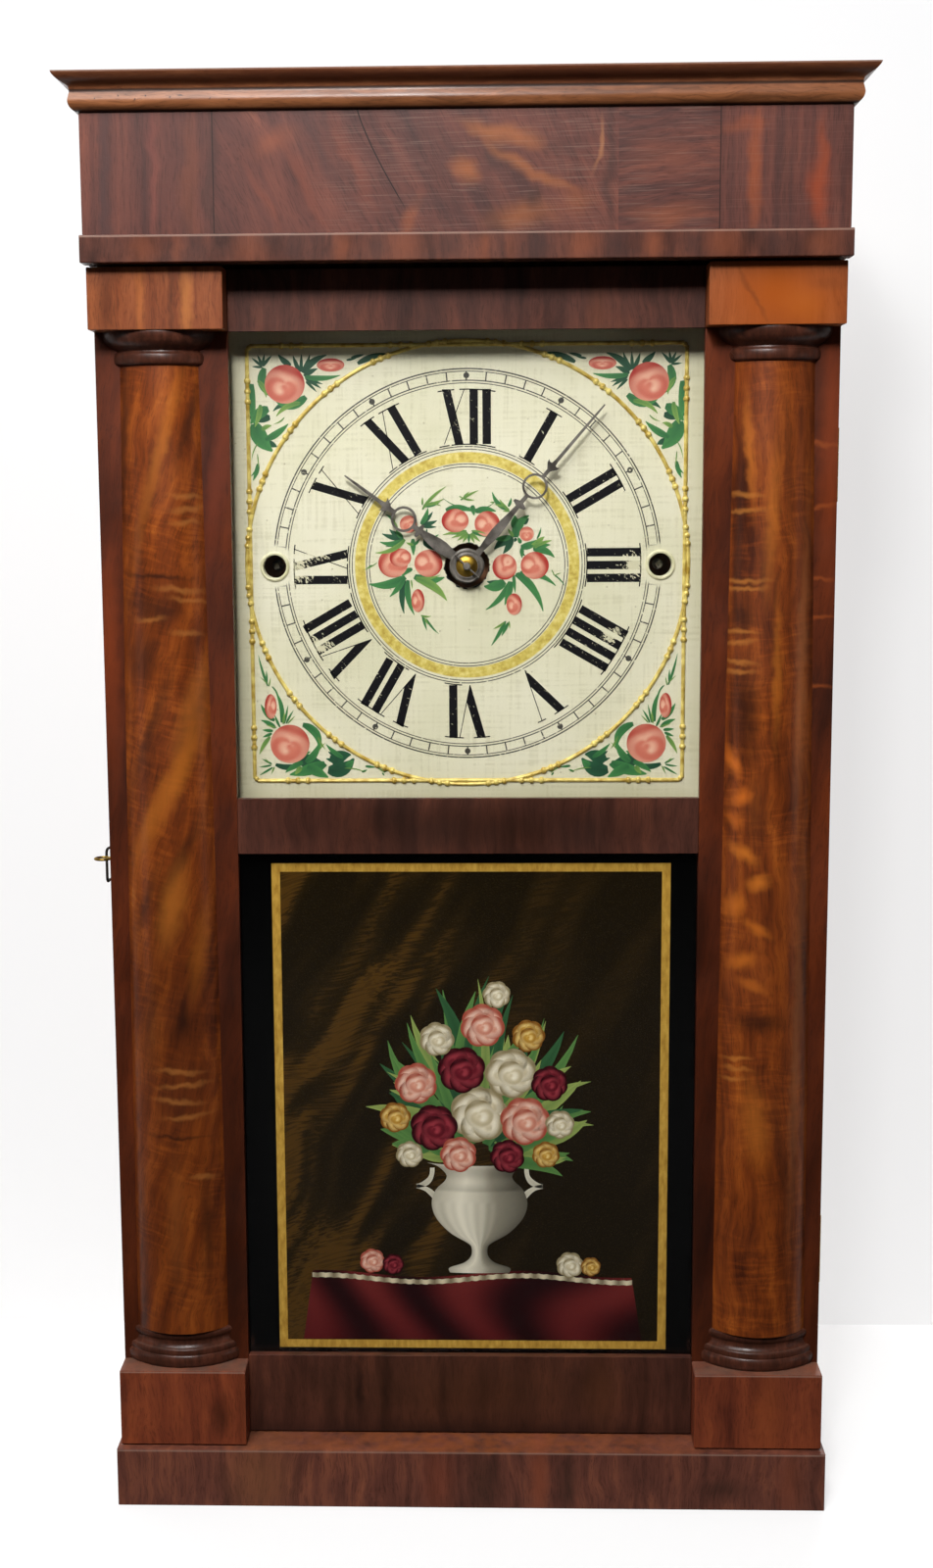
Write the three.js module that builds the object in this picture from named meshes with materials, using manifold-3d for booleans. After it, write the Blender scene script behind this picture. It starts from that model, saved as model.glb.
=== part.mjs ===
// Column and cornice shelf clock: weight driven, full width hinged door, ogee crown on the cornice.
// Millimetres. X to the right, Y to the back (the front faces -Y), Z up, origin under the middle.
import * as THREE from 'three';
import Module from 'manifold-3d';

const wasm = await Module();
wasm.setup();

// ---------------------------------------------------------------- case sizes
const WIDTH = 400;                   // over the case sides and the door
const DEPTH = 135.8;                 // from the cornice's front edge to the back
const SIDE = 12;                     // side board
const BACK = 8;                      // back board
const ROOF = 13;                     // roof board
const SLAB = { high: 34, wide: 2, proud: 22.3 };   // proud: in front of the door frame
const BAND = { high: 14.2, proud: 1.6 };           // proud: beyond the frieze
const FRIEZE = { high: 62, thick: 12, proud: 24 };
const CORNICE = { high: 18.7, proud: 11.8, bead: 4.7, neck: 3.9 };

// ---------------------------------------------------------------- door sizes
const DOOR = { thick: 19, gap: 0.4, under: 1, over: 1.3 };
const STILE = 72;                    // width of a stile, a plinth and an abacus
const RAIL = { bottom: 46.4, middle: 31, top: 32.4 };
const TABLET_OPENING = 295;          // height of the lower opening
const BLOCK_PROUD = 17.5;            // plinths and abaci in front of the stiles
const PLINTH = 44.2;
const BASE = { high: 20.3, half: 32, split: 28 };  // split: turning axis behind the flat back
const CAPITAL = { high: 17.6, half: 30.3 };
const COLUMN = { inset: 34.6, foot: 26, head: 21.2, split: 18.3 };
const LIP = 5.1;                     // wood in front of a pane
const REBATE = 6.3;                  // width of the step behind the lip
const GLASS = 2;
const PANE_PLAY = 0.3;
const HINGE = { out: 1.9, r: 1.7, pin: 0.8, long: 40, leaf: 1.1, wide: 10, from: 85, play: 0.2 };
const HOOK = { out: 6.9, in: 10, back: 5.7, over: 1.2, r: 0.8, bend: 3.2, long: 20.2, tip: 8 };
const EYE = { out: 5, ring: 4.2, wire: 0.7, under: 3.4, behind: 4.3 };

// ---------------------------------------------------------------- dial and movement sizes
const DIAL = { thick: 6, set: 3, lift: 0.5, half: 141, tall: 150, hole: 12.3 };
const CLEAT = { thick: 8, over: 9, short: 10 };
const WINDING = { x: 107.15, hole: 6.35, r: 3, square: 3.2, proud: 8 };
const PLATE = { half: 130, tall: 95, thick: 6, gap: 12.1 };
const PILLAR = { x: 114, z: 83, r: 5 };
const RUN = 0.06;                    // radial clearance of a running fit
const ARBOR = 2.1;
const PIPE = 4;
const SOCKET = 4.5;                  // depth of a blind bore in the back plate
const BARREL = { r: 19, flange: 24, rim: 4, play: 1 };
const CORD = { r: 0.6, drop: 130 };
const WEIGHT = { r: 19, long: 130, neck: 13 };
const PENDULUM = { x: -32, above: 71, long: 268, rod: 0.9, bob: 23, half: 5.5, pin: 1.2 };
const HAND = { thick: 0.8, set: 4.5, apart: 2.4, tip: 0.4 };
const MINUTE = { long: 115.5, hub: 9.2, ring: 7.1, bore: 5.8, out: 57.4, at: 40.9 };  // at: degrees
const HOUR = { long: 83.7, hub: 9.7, ring: 7.2, bore: 5.7, out: 43.4, at: 306.6 };
const COLLET = { r: 6, high: 2.2 };
const TAPER_PIN = { r: 0.55, long: 18.4, above: 0.9, at: 133 };

// ---------------------------------------------------------------- planes and heights
const HALF = WIDTH / 2;
const INSIDE = HALF - SIDE;
const BACK_Y = DEPTH / 2;
const INNER_BACK = BACK_Y - BACK;
const FRIEZE_Y = -DEPTH / 2 + CORNICE.proud;
const FRIEZE_BACK = FRIEZE_Y + FRIEZE.thick;
const DOOR_Y = FRIEZE_Y + FRIEZE.proud;
const DOOR_BACK = DOOR_Y + DOOR.thick;
const SIDE_FRONT = DOOR_BACK + DOOR.gap;
const BLOCK_Y = DOOR_Y - BLOCK_PROUD;
const GLASS_Y = DOOR_Y + LIP;
const OPENING = HALF - STILE;        // half width of both door openings
const FRAME_IN = OPENING + REBATE;
const DIAL_Y = DOOR_BACK + DIAL.set;
const DIAL_BACK = DIAL_Y + DIAL.thick;
const FRONT_PLATE = DIAL_BACK + PLATE.gap;
const BACK_PLATE = INNER_BACK - PLATE.thick;

const DOOR_Z = SLAB.high + DOOR.under;
const PLINTH_Z = DOOR_Z + PLINTH;
const TABLET_Z = DOOR_Z + RAIL.bottom;
const MIDDLE_Z = TABLET_Z + TABLET_OPENING;
const GLASS_Z = MIDDLE_Z + RAIL.middle;
const SHAFT_Z = PLINTH_Z + BASE.high;
const BAND_Z = 695.3;                // under the band: sets the height of the whole door
const DOOR_TOP = BAND_Z - DOOR.over;
const ABACUS_Z = DOOR_TOP - RAIL.top;
const NECK_Z = ABACUS_Z - CAPITAL.high;
const FRIEZE_Z = BAND_Z + BAND.high;
const CORNICE_Z = FRIEZE_Z + FRIEZE.high;
const TOP_Z = CORNICE_Z + CORNICE.high;
const DIAL_Z = (GLASS_Z + ABACUS_Z) / 2 + DIAL.lift;

// ---------------------------------------------------------------- shapes
const ROUND = 24;
const radians = THREE.MathUtils.degToRad;
const SIDES = [['left', -1], ['right', 1]];

// Turns a geometry inside out if its faces look inwards.
function outward(geometry) {
  const p = geometry.getAttribute('position');
  const corner = (i) => new THREE.Vector3().fromBufferAttribute(p, i);
  const index = geometry.getIndex()?.array ?? Array.from({ length: p.count }, (_, i) => i);
  let volume = 0;
  for (let i = 0; i < index.length; i += 3) {
    volume += corner(index[i]).dot(corner(index[i + 1]).cross(corner(index[i + 2])));
  }
  const turned = Array.from(index);
  if (volume < 0) {
    for (let i = 0; i < turned.length; i += 3) {
      [turned[i + 1], turned[i + 2]] = [turned[i + 2], turned[i + 1]];
    }
  }
  return geometry.setIndex(turned);
}

const box = (x0, x1, y0, y1, z0, z1) =>
  new THREE.BoxGeometry(x1 - x0, y1 - y0, z1 - z0)
    .translate((x0 + x1) / 2, (y0 + y1) / 2, (z0 + z1) / 2);

// A flat outline, in (Y, Z), (X, Z) or (X, Y), carried along the axis that is left over.
function prism(axis, outline, from, to, holes = []) {
  const points = (loop) => loop.map(([u, v]) => new THREE.Vector2(u, v));
  const shape = new THREE.Shape(points(outline));
  shape.holes = holes.map((hole) => new THREE.Path(points(hole)));
  const geometry = new THREE.ExtrudeGeometry(shape, { depth: to - from, bevelEnabled: false });
  if (axis === 'x') geometry.rotateX(Math.PI / 2).rotateZ(Math.PI / 2).translate(from, 0, 0);
  if (axis === 'y') geometry.rotateX(Math.PI / 2).translate(0, to, 0);
  if (axis === 'z') geometry.translate(0, 0, from);
  return outward(geometry);
}

// A profile of [radius, distance along the axis] turned about the axis through (u, v).
function turning(axis, [u, v], profile, n = ROUND) {
  const geometry = new THREE.LatheGeometry(profile.map(([r, a]) => new THREE.Vector2(r, a)), n);
  if (axis === 'x') geometry.rotateZ(-Math.PI / 2).translate(0, u, v);
  if (axis === 'y') geometry.translate(u, 0, v);
  if (axis === 'z') geometry.rotateX(Math.PI / 2).translate(u, v, 0);
  return outward(geometry);
}

const rod = (axis, centre, r, from, to, n = ROUND) =>
  turning(axis, centre, [[0, from], [r, from], [r, to], [0, to]], n);
const tube = (axis, centre, bore, r, from, to, n = ROUND) =>
  turning(axis, centre, [[bore, from], [r, from], [r, to], [bore, to], [bore, from]], n);

const circle = (u, v, r, n = ROUND) => Array.from({ length: n }, (_, i) => {
  const angle = (2 * Math.PI * i) / n;
  return [u + r * Math.sin(angle), v + r * Math.cos(angle)];
});

const rectangle = (u0, u1, v0, v1) => [[u0, v0], [u1, v0], [u1, v1], [u0, v1]];

// A round wire bent along a path whose corners are eased.
function wire(path, r, bend, steps) {
  const points = path.map((p) => new THREE.Vector3(...p));
  const route = new THREE.CurvePath();
  let last = points[0];
  points.slice(1, -1).forEach((point, k) => {
    const start = point.clone().add(points[k].clone().sub(point).setLength(bend));
    const end = point.clone().add(points[k + 2].clone().sub(point).setLength(bend));
    route.add(new THREE.LineCurve3(last, start));
    route.add(new THREE.QuadraticBezierCurve3(start, point, end));
    last = end;
  });
  route.add(new THREE.LineCurve3(last, points.at(-1)));
  const section = new THREE.Shape(circle(0, 0, r, 12).map(([u, v]) => new THREE.Vector2(u, v)));
  return outward(new THREE.ExtrudeGeometry(section, { steps, extrudePath: route }));
}

// ---------------------------------------------------------------- cutting and joining
function toManifold(geometry) {
  const position = geometry.getAttribute('position');
  const index = geometry.getIndex();
  const seen = new Map();
  const vertices = [];
  const weld = (i) => {
    const p = [position.getX(i), position.getY(i), position.getZ(i)];
    const key = p.map((value) => Math.round(value * 1e4)).join();
    if (!seen.has(key)) {
      seen.set(key, vertices.length / 3);
      vertices.push(...p);
    }
    return seen.get(key);
  };
  const corners = [];
  for (let i = 0; i < index.count; i += 3) {
    const face = [0, 1, 2].map((k) => weld(index.getX(i + k)));
    if (new Set(face).size === 3) corners.push(...face);
  }
  return new wasm.Manifold(new wasm.Mesh({
    numProp: 3,
    vertProperties: new Float32Array(vertices),
    triVerts: new Uint32Array(corners),
  }));
}

function fromManifold(solid) {
  const { vertProperties, triVerts } = solid.getMesh();
  const geometry = new THREE.BufferGeometry();
  geometry.setAttribute('position', new THREE.BufferAttribute(new Float32Array(vertProperties), 3));
  return geometry.setIndex(new THREE.BufferAttribute(new Uint32Array(triVerts), 1));
}

const cut = (piece, ...tools) =>
  fromManifold(tools.reduce((left, tool) => left.subtract(toManifold(tool)), toManifold(piece)));
const join = (...pieces) =>
  fromManifold(pieces.map(toManifold).reduce((left, right) => left.add(right)));
const common = (piece, other) => fromManifold(toManifold(piece).intersect(toManifold(other)));

// ---------------------------------------------------------------- naming and colour
const clock = new THREE.Group();
clock.name = 'shelf_clock';

const FINISH = {                     // colour, roughness, metalness
  mahogany: [0x6a3020, 0.35, 0], crotch: [0x8a4a24, 0.3, 0], turned: [0x4a2218, 0.3, 0],
  pine: [0xa88a5c, 0.8, 0], cherry: [0x8a5a34, 0.6, 0], dial: [0xdcdcb8, 0.6, 0],
  glass: [0xb8c0b8, 0.05, 0], tablet: [0x2a2413, 0.1, 0], brass: [0xb8963c, 0.35, 1],
  steel: [0x4a4844, 0.45, 1], iron: [0x2a2a2c, 0.7, 1], cord: [0xb0a080, 0.9, 0],
};

function add(name, finish, geometry) {
  const [color, roughness, metalness] = FINISH[finish];
  const material = new THREE.MeshStandardMaterial({ name: finish, color, roughness, metalness });
  const mesh = new THREE.Mesh(geometry, material);
  mesh.name = name;
  clock.add(mesh);
}

// The span from a to b on the right, or its mirror image on the left.
const span = (side, a, b) => (side < 0 ? [-b, -a] : [a, b]);

// ---------------------------------------------------------------- case
const hingeHeights = [['lower', DOOR_Z + HINGE.from], ['upper', DOOR_TOP - HINGE.from - HINGE.long]];
const leafIn = HALF - HINGE.wide;
const mortices = (y0, y1) => hingeHeights.map(([, z]) =>
  box(leafIn - 0.1, HALF + 1, y0, y1, z - 0.1, z + HINGE.long + 0.1));
const eyeZ = MIDDLE_Z - EYE.under;
const hookZ = eyeZ + EYE.wire + HOOK.r + HOOK.over;
const hookY = SIDE_FRONT + HOOK.back;

add('base_slab', 'mahogany', box(
  -HALF - SLAB.wide, HALF + SLAB.wide, DOOR_Y - SLAB.proud, BACK_Y, 0, SLAB.high));

const sideOutline = [
  [BACK_Y, SLAB.high], [BACK_Y, CORNICE_Z], [FRIEZE_BACK, CORNICE_Z], [FRIEZE_BACK, BAND_Z],
  [SIDE_FRONT, BAND_Z], [SIDE_FRONT, SLAB.high],
];
for (const [name, side] of SIDES) {
  const board = prism('x', sideOutline, ...span(side, INSIDE, HALF));
  const tools = side < 0
    ? [rod('x', [hookY, hookZ], HOOK.r + RUN, -HALF - 1, -HALF + HOOK.in)]
    : mortices(SIDE_FRONT - 1, SIDE_FRONT + HINGE.leaf);
  add(`side_board_${name}`, 'mahogany', cut(board, ...tools));
}

add('back_board', 'pine', box(-INSIDE, INSIDE, INNER_BACK, BACK_Y, SLAB.high, CORNICE_Z));
add('roof_board', 'pine', box(-INSIDE, INSIDE, FRIEZE_BACK, BACK_Y, CORNICE_Z, CORNICE_Z + ROOF));
add('frieze_board', 'crotch', box(-HALF, HALF, FRIEZE_Y, FRIEZE_BACK, FRIEZE_Z, CORNICE_Z));
add('frieze_band', 'mahogany', box(
  -HALF - BAND.proud, HALF + BAND.proud, FRIEZE_Y - BAND.proud, FRIEZE_BACK, BAND_Z, FRIEZE_Z));

// Cornice section as [projection beyond the frieze, share of the height]: a rounded bead below,
// then the ogee crown, hollow at the neck and swelling to the top edge.
const { bead, neck, proud: crown } = CORNICE;
const rise = (share) => neck + (crown - neck) * share;
const corniceSection = [
  [-SIDE, 0], [0, 0], [bead * 0.32, 0.01], [bead * 0.62, 0.054], [bead * 0.85, 0.123],
  [bead * 0.98, 0.21], [bead, 0.294], [(bead + neck) / 2, 0.4], [neck, 0.481], [neck, 0.583],
  [rise(0.06), 0.647], [rise(0.23), 0.706], [rise(0.47), 0.76], [rise(0.68), 0.818],
  [rise(0.85), 0.882], [rise(0.96), 0.947], [crown, 1], [-SIDE, 1],
];
const wideOut = crown + 8;           // the mitre cutters reach past the crown
const mitre = (corner) => [corner * (HALF + wideOut), FRIEZE_Y - wideOut];
const inner = (corner) => [corner * INSIDE, FRIEZE_Y + SIDE];
const reach = HALF + crown;
add('cornice_front', 'mahogany', common(
  prism('x', corniceSection.map(([out, t]) => [FRIEZE_Y - out, CORNICE_Z + t * CORNICE.high]),
    -reach, reach),
  prism('z', [mitre(-1), mitre(1), inner(1), inner(-1)], CORNICE_Z - 1, TOP_Z + 1),
));
for (const [name, side] of SIDES) {
  add(`cornice_${name}`, 'mahogany', common(
    prism('y', corniceSection.map(([out, t]) => [side * (HALF + out), CORNICE_Z + t * CORNICE.high]),
      FRIEZE_Y - crown, BACK_Y),
    prism('z', [inner(side), mitre(side), [side * (HALF + wideOut), BACK_Y + 1],
      [side * INSIDE, BACK_Y + 1]], CORNICE_Z - 1, TOP_Z + 1),
  ));
}

// ---------------------------------------------------------------- dial
const dialLow = DIAL_Z - DIAL.tall + DIAL.lift;
const dialHigh = DIAL_Z + DIAL.tall + DIAL.lift;
add('dial_board', 'dial', prism(
  'y', rectangle(-DIAL.half, DIAL.half, dialLow, dialHigh), DIAL_Y, DIAL_BACK,
  [circle(0, DIAL_Z, DIAL.hole), ...SIDES.map(([, side]) =>
    circle(side * WINDING.x, DIAL_Z, WINDING.hole))],
));
for (const [name, side] of SIDES) {
  add(`dial_cleat_${name}`, 'pine', box(
    ...span(side, DIAL.half - CLEAT.over, INSIDE), DIAL_BACK, DIAL_BACK + CLEAT.thick,
    dialLow + CLEAT.short, dialHigh - CLEAT.short));
}

// ---------------------------------------------------------------- door frame and panes
for (const [name, side] of SIDES) {
  const stile = prism('z', [
    [OPENING, DOOR_Y], [HALF, DOOR_Y], [HALF, DOOR_BACK], [FRAME_IN, DOOR_BACK],
    [FRAME_IN, GLASS_Y], [OPENING, GLASS_Y],
  ].map(([x, y]) => [side * x, y]), DOOR_Z, DOOR_TOP);
  add(`door_stile_${name}`, 'mahogany', side < 0
    ? stile : cut(stile, ...mortices(DOOR_BACK - HINGE.leaf, DOOR_BACK + 1)));
}

// A rail fills the frame between its lips in front, and is narrower behind, where a pane lies.
const rail = (low, high, paneBelow, paneAbove) => join(
  box(-OPENING, OPENING, DOOR_Y, GLASS_Y, low, high),
  box(-FRAME_IN, FRAME_IN, GLASS_Y, DOOR_BACK,
    low + (paneBelow ? REBATE : 0), high - (paneAbove ? REBATE : 0)),
);
add('door_rail_bottom', 'mahogany', rail(DOOR_Z, TABLET_Z, false, true));
add('door_rail_middle', 'mahogany', rail(MIDDLE_Z, GLASS_Z, true, true));
add('door_rail_top', 'mahogany', rail(ABACUS_Z, DOOR_TOP, true, false));

const edge = REBATE - PANE_PLAY;
const pane = (low, high) => box(
  -OPENING - edge, OPENING + edge, GLASS_Y, GLASS_Y + GLASS, low - edge, high + edge);
add('dial_glass', 'glass', pane(GLASS_Z, ABACUS_Z));
add('tablet_glass', 'tablet', pane(TABLET_Z, MIDDLE_Z));

// ---------------------------------------------------------------- plinths, half columns, abaci
// A turning of [half width, height], sawn down its length and glued on by its flat side.
const split = (x, offset, profile, n) => {
  const [low, high] = [profile[0][1], profile.at(-1)[1]];
  const turned = [[0, low], ...profile.map(([half, z]) => [Math.hypot(half, offset), z]), [0, high]];
  const wide = Math.max(...turned.map(([r]) => r)) + 1;
  return common(
    turning('z', [x, DOOR_Y + offset], turned, n),
    box(x - wide, x + wide, DOOR_Y + offset - wide, DOOR_Y, low - 1, high + 1),
  );
};
const baseProfile = [                // torus, fillet, hollow and bead
  [-1.8, 0], [-0.5, 0.06], [0, 0.15], [-0.1, 0.25], [-1, 0.33], [-1.8, 0.36], [-1.6, 0.43],
  [-2, 0.51], [-3.8, 0.56], [-5.4, 0.64], [-5.8, 0.73], [-5.2, 0.78], [-4.3, 0.83], [-4, 0.9],
  [-4.4, 0.965], [-5.4, 1],
].map(([out, share]) => [BASE.half + out, PLINTH_Z + share * BASE.high]);
const capitalProfile = [             // astragal, then the bowl under the abacus
  [-7.7, 0], [-6.5, 0.05], [-6, 0.17], [-6.4, 0.31], [-7.7, 0.375], [-7.9, 0.42], [-6.3, 0.48],
  [-3.7, 0.57], [-1.5, 0.68], [-0.3, 0.81], [0, 0.92], [-0.2, 1],
].map(([out, share]) => [CAPITAL.half + out, NECK_Z + share * CAPITAL.high]);
// The shaft tapers slowly at first and faster towards its head.
const shaftProfile = Array.from({ length: 7 }, (_, i) => {
  const share = i / 6;
  const swell = 0.35 * share + 0.65 * share ** 2;
  return [COLUMN.foot + (COLUMN.head - COLUMN.foot) * swell, SHAFT_Z + share * (NECK_Z - SHAFT_Z)];
});
for (const [name, side] of SIDES) {
  const x = side * (HALF - COLUMN.inset);
  const ends = span(side, OPENING, HALF);
  add(`plinth_${name}`, 'mahogany', box(...ends, BLOCK_Y, DOOR_Y, DOOR_Z, PLINTH_Z));
  add(`column_base_${name}`, 'turned', split(x, BASE.split, baseProfile, 56));
  add(`column_${name}`, 'crotch', split(x, COLUMN.split, shaftProfile, 64));
  add(`capital_${name}`, 'turned', split(x, COLUMN.split, capitalProfile, 48));
  add(`abacus_${name}`, 'mahogany', box(...ends, BLOCK_Y, DOOR_Y, ABACUS_Z, DOOR_TOP));
}

// ---------------------------------------------------------------- hinges
const hingeX = HALF + HINGE.out;
const hingeY = DOOR_BACK + DOOR.gap / 2;
const knuckle = (r, z0, z1) => rod('z', [hingeX, hingeY], r, z0, z1);
const knuckleRoom = (z0, z1) => box(
  HALF + 0.05, hingeX + 3, hingeY - 3, hingeY + 3, z0, z1);
for (const [name, z] of hingeHeights) {
  const top = z + HINGE.long;
  const [low, high] = [z + HINGE.long / 3, z + (2 * HINGE.long) / 3];
  const leaf = (y) => box(leafIn, hingeX, y, y + HINGE.leaf, z, top);
  add(`hinge_leaf_case_${name}`, 'brass', cut(
    join(cut(leaf(SIDE_FRONT), knuckleRoom(z - 1, low), knuckleRoom(high, top + 1)),
      knuckle(HINGE.r, low, high)),
    knuckle(HINGE.pin + RUN, low - 1, high + 1),
  ));
  add(`hinge_leaf_door_${name}`, 'brass', join(
    cut(leaf(DOOR_BACK - HINGE.leaf), knuckleRoom(low - HINGE.play, high + HINGE.play)),
    knuckle(HINGE.r, z, low - HINGE.play),
    knuckle(HINGE.r, high + HINGE.play, top),
    knuckle(HINGE.pin, z, top),
  ));
}

// ---------------------------------------------------------------- latch
const [eyeX, eyeY] = [-HALF - EYE.out, DOOR_Y + EYE.behind];
const ringSection = circle(EYE.ring, eyeZ, EYE.wire, 10);
add('latch_eye', 'brass', join(
  turning('z', [eyeX, eyeY], [...ringSection, ringSection[0]]),
  rod('x', [eyeY, eyeZ], EYE.wire, eyeX + EYE.ring, -HALF, 12),
  rod('x', [eyeY, eyeZ], EYE.wire * 3, -HALF - 0.5, -HALF, 16),
));

// The hook hangs down when it is off the eye; swung up and over, its tip drops into the ring.
const hookX = -HALF - HOOK.out;
add('latch_hook', 'steel', wire([
  [-HALF + HOOK.in - 0.4, hookY, hookZ], [hookX, hookY, hookZ], [hookX, hookY, hookZ - HOOK.long],
  [hookX, hookY + HOOK.tip, hookZ - HOOK.long],
], HOOK.r, HOOK.bend, 44));

// ---------------------------------------------------------------- hands
// A hand is drawn upright as [half width, distance from the centre], then turned to its hour.
const arc = (v, r, from, to, n) => Array.from({ length: n + 1 }, (_, i) => {
  const angle = radians(from + ((to - from) * i) / n);
  return [r * Math.cos(angle), v + r * Math.sin(angle)];
});
const turned = (degrees, [u, v]) => {
  const angle = radians(degrees);
  return [u * Math.cos(angle) + v * Math.sin(angle), DIAL_Z - u * Math.sin(angle) + v * Math.cos(angle)];
};
// Half outlines as [half width, distance] in shares of the hand's length: hub, lower spear, ring, leaf.
const outline = (size, hubTo, lower, ringFrom, ringTo, upper) => [
  ...arc(0, size.hub, -90, hubTo, 10),
  ...lower.map(([u, v]) => [u * size.long, v * size.long]),
  ...arc(size.out, size.ring, ringFrom, ringTo, 8),
  ...upper.map(([u, v]) => [u * size.long, v * size.long]),
  [HAND.tip, size.long],
];
const minuteHalf = outline(MINUTE, 78, [
  [0.0134, 0.105], [0.0165, 0.135], [0.0215, 0.175], [0.0235, 0.21], [0.021, 0.26], [0.0145, 0.32],
  [0.0105, 0.37], [0.0338, 0.379], [0.0338, 0.391], [0.0105, 0.4], [0.0095, 0.435],
], -80, 81, [
  [0.0092, 0.57], [0.0095, 0.596], [0.018, 0.607], [0.028, 0.62], [0.0335, 0.638], [0.023, 0.631],
  [0.0115, 0.632], [0.0082, 0.655], [0.0078, 0.72], [0.0063, 0.85], [0.005, 0.95],
]);
const hourHalf = outline(HOUR, 74, [
  [0.031, 0.128], [0.037, 0.155], [0.0435, 0.2], [0.042, 0.245], [0.034, 0.3], [0.0225, 0.355],
  [0.0185, 0.373], [0.0478, 0.383], [0.0478, 0.398], [0.018, 0.406], [0.0165, 0.43],
], -79, 80, [
  [0.0155, 0.612], [0.0165, 0.635], [0.031, 0.65], [0.0515, 0.69], [0.037, 0.68], [0.019, 0.682],
  [0.0135, 0.71], [0.0118, 0.78], [0.0092, 0.9],
]);
const hand = (size, half, y, bore) => {
  const right = half.slice(1);
  const loop = [[0, half[0][1]], ...right, ...right.toReversed().map(([u, v]) => [-u, v])];
  return prism('y', loop.map((p) => turned(size.at, p)), y, y + HAND.thick, [
    circle(0, DIAL_Z, bore), circle(...turned(size.at, [0, size.out]), size.bore, 20)]);
};
const hourY = DIAL_Y - HAND.set;
const minuteY = hourY - HAND.apart;
const centre = [0, DIAL_Z];
add('hour_hand', 'steel', hand(HOUR, hourHalf, hourY, PIPE));
add('hour_pipe', 'brass', tube('y', centre, ARBOR + RUN, PIPE, hourY, FRONT_PLATE - 2));
add('minute_hand', 'steel', hand(MINUTE, minuteHalf, minuteY, ARBOR));
add('hand_collet', 'brass', turning('y', centre, [
  [ARBOR, 0], [COLLET.r, 0], [COLLET.r, 0.18], [COLLET.r * 0.87, 0.55], [COLLET.r * 0.6, 0.86],
  [ARBOR, 1], [ARBOR, 0],
].map(([r, up]) => [r, minuteY - up * COLLET.high])));

// The taper pin lies through the arbor, in front of the collet.
const pinY = minuteY - COLLET.high - TAPER_PIN.above;
const pin = wire([-0.5, 0.5].map((end) => {
  const [x, z] = turned(TAPER_PIN.at, [0, end * TAPER_PIN.long]);
  return [x, pinY, z];
}), TAPER_PIN.r, 0, 1);
const arborTip = pinY - ARBOR;
const arborEnd = BACK_PLATE + SOCKET - 0.9;
add('taper_pin', 'steel', pin);
add('centre_arbor', 'steel', cut(turning('y', centre, [
  [0, arborTip], [ARBOR - 0.5, arborTip], [ARBOR, arborTip + 0.5], [ARBOR, arborEnd], [0, arborEnd],
]), pin));

// ---------------------------------------------------------------- movement
const plateOutline = rectangle(-PLATE.half, PLATE.half, DIAL_Z - PLATE.tall, DIAL_Z + PLATE.tall);
const arborBores = [
  circle(0, DIAL_Z, ARBOR + RUN),
  ...SIDES.map(([, side]) => circle(side * WINDING.x, DIAL_Z, WINDING.r + RUN)),
];
const pivotZ = DIAL_Z + PENDULUM.above;
const betweenPlates = [FRONT_PLATE + PLATE.thick, BACK_PLATE];
add('movement_front_plate', 'cherry', prism(
  'y', plateOutline, FRONT_PLATE, betweenPlates[0],
  [...arborBores, circle(PENDULUM.x, pivotZ, PENDULUM.pin + RUN)],
));
add('movement_back_plate', 'cherry', cut(
  prism('y', plateOutline, BACK_PLATE, INNER_BACK),
  ...arborBores.map((bore) => prism('y', bore, BACK_PLATE - 1, BACK_PLATE + SOCKET)),
));
[[-1, -1], [1, -1], [-1, 1], [1, 1]].forEach(([side, up], i) => {
  add(`movement_pillar_${i + 1}`, 'cherry', rod(
    'y', [side * PILLAR.x, DIAL_Z + up * PILLAR.z], PILLAR.r, ...betweenPlates, 16));
});

// ---------------------------------------------------------------- barrels, cords and weights
const squareEnd = (x, degrees) => circle(0, 0, WINDING.square / Math.SQRT2, 4).map(([u, v]) => {
  const [a, b] = turned(degrees, [u, v]);
  return [x + a, b];
});
for (const [name, side, tilt] of [['time', 1, 8], ['strike', -1, 25]]) {
  const x = side * WINDING.x;
  add(`${name}_winding_arbor`, 'steel', join(
    rod('y', [x, DIAL_Z], WINDING.r, FRONT_PLATE - 1, BACK_PLATE + SOCKET - 0.3),
    prism('y', squareEnd(x, tilt), FRONT_PLATE - WINDING.proud, FRONT_PLATE),
  ));
  const [front, back] = [betweenPlates[0] + BARREL.play, betweenPlates[1] - BARREL.play];
  add(`${name}_barrel`, 'cherry', turning('y', [x, DIAL_Z], [
    [WINDING.r, front], [BARREL.flange, front], [BARREL.flange, front + BARREL.rim],
    [BARREL.r, front + BARREL.rim + 1], [BARREL.r, back - BARREL.rim - 1],
    [BARREL.flange, back - BARREL.rim], [BARREL.flange, back], [WINDING.r, back], [WINDING.r, front],
  ]));
  const cord = [side * (WINDING.x + BARREL.r + CORD.r + 0.05), (front + back) / 2];
  const top = DIAL_Z - CORD.drop;
  const shoulder = top - WEIGHT.neck;
  add(`${name}_weight_cord`, 'cord', rod('z', cord, CORD.r, top, DIAL_Z, 8));
  add(`${name}_weight`, 'iron', turning('z', cord, [
    [0, shoulder - WEIGHT.long], [WEIGHT.r - 1.5, shoulder - WEIGHT.long],
    [WEIGHT.r, shoulder - WEIGHT.long + 1.5], [WEIGHT.r, shoulder - 3], [WEIGHT.r - 3, shoulder],
    [4, shoulder + 1], [2.6, shoulder + 4], [3.6, top - 4], [2.8, top], [0, top],
  ]));
}

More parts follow.
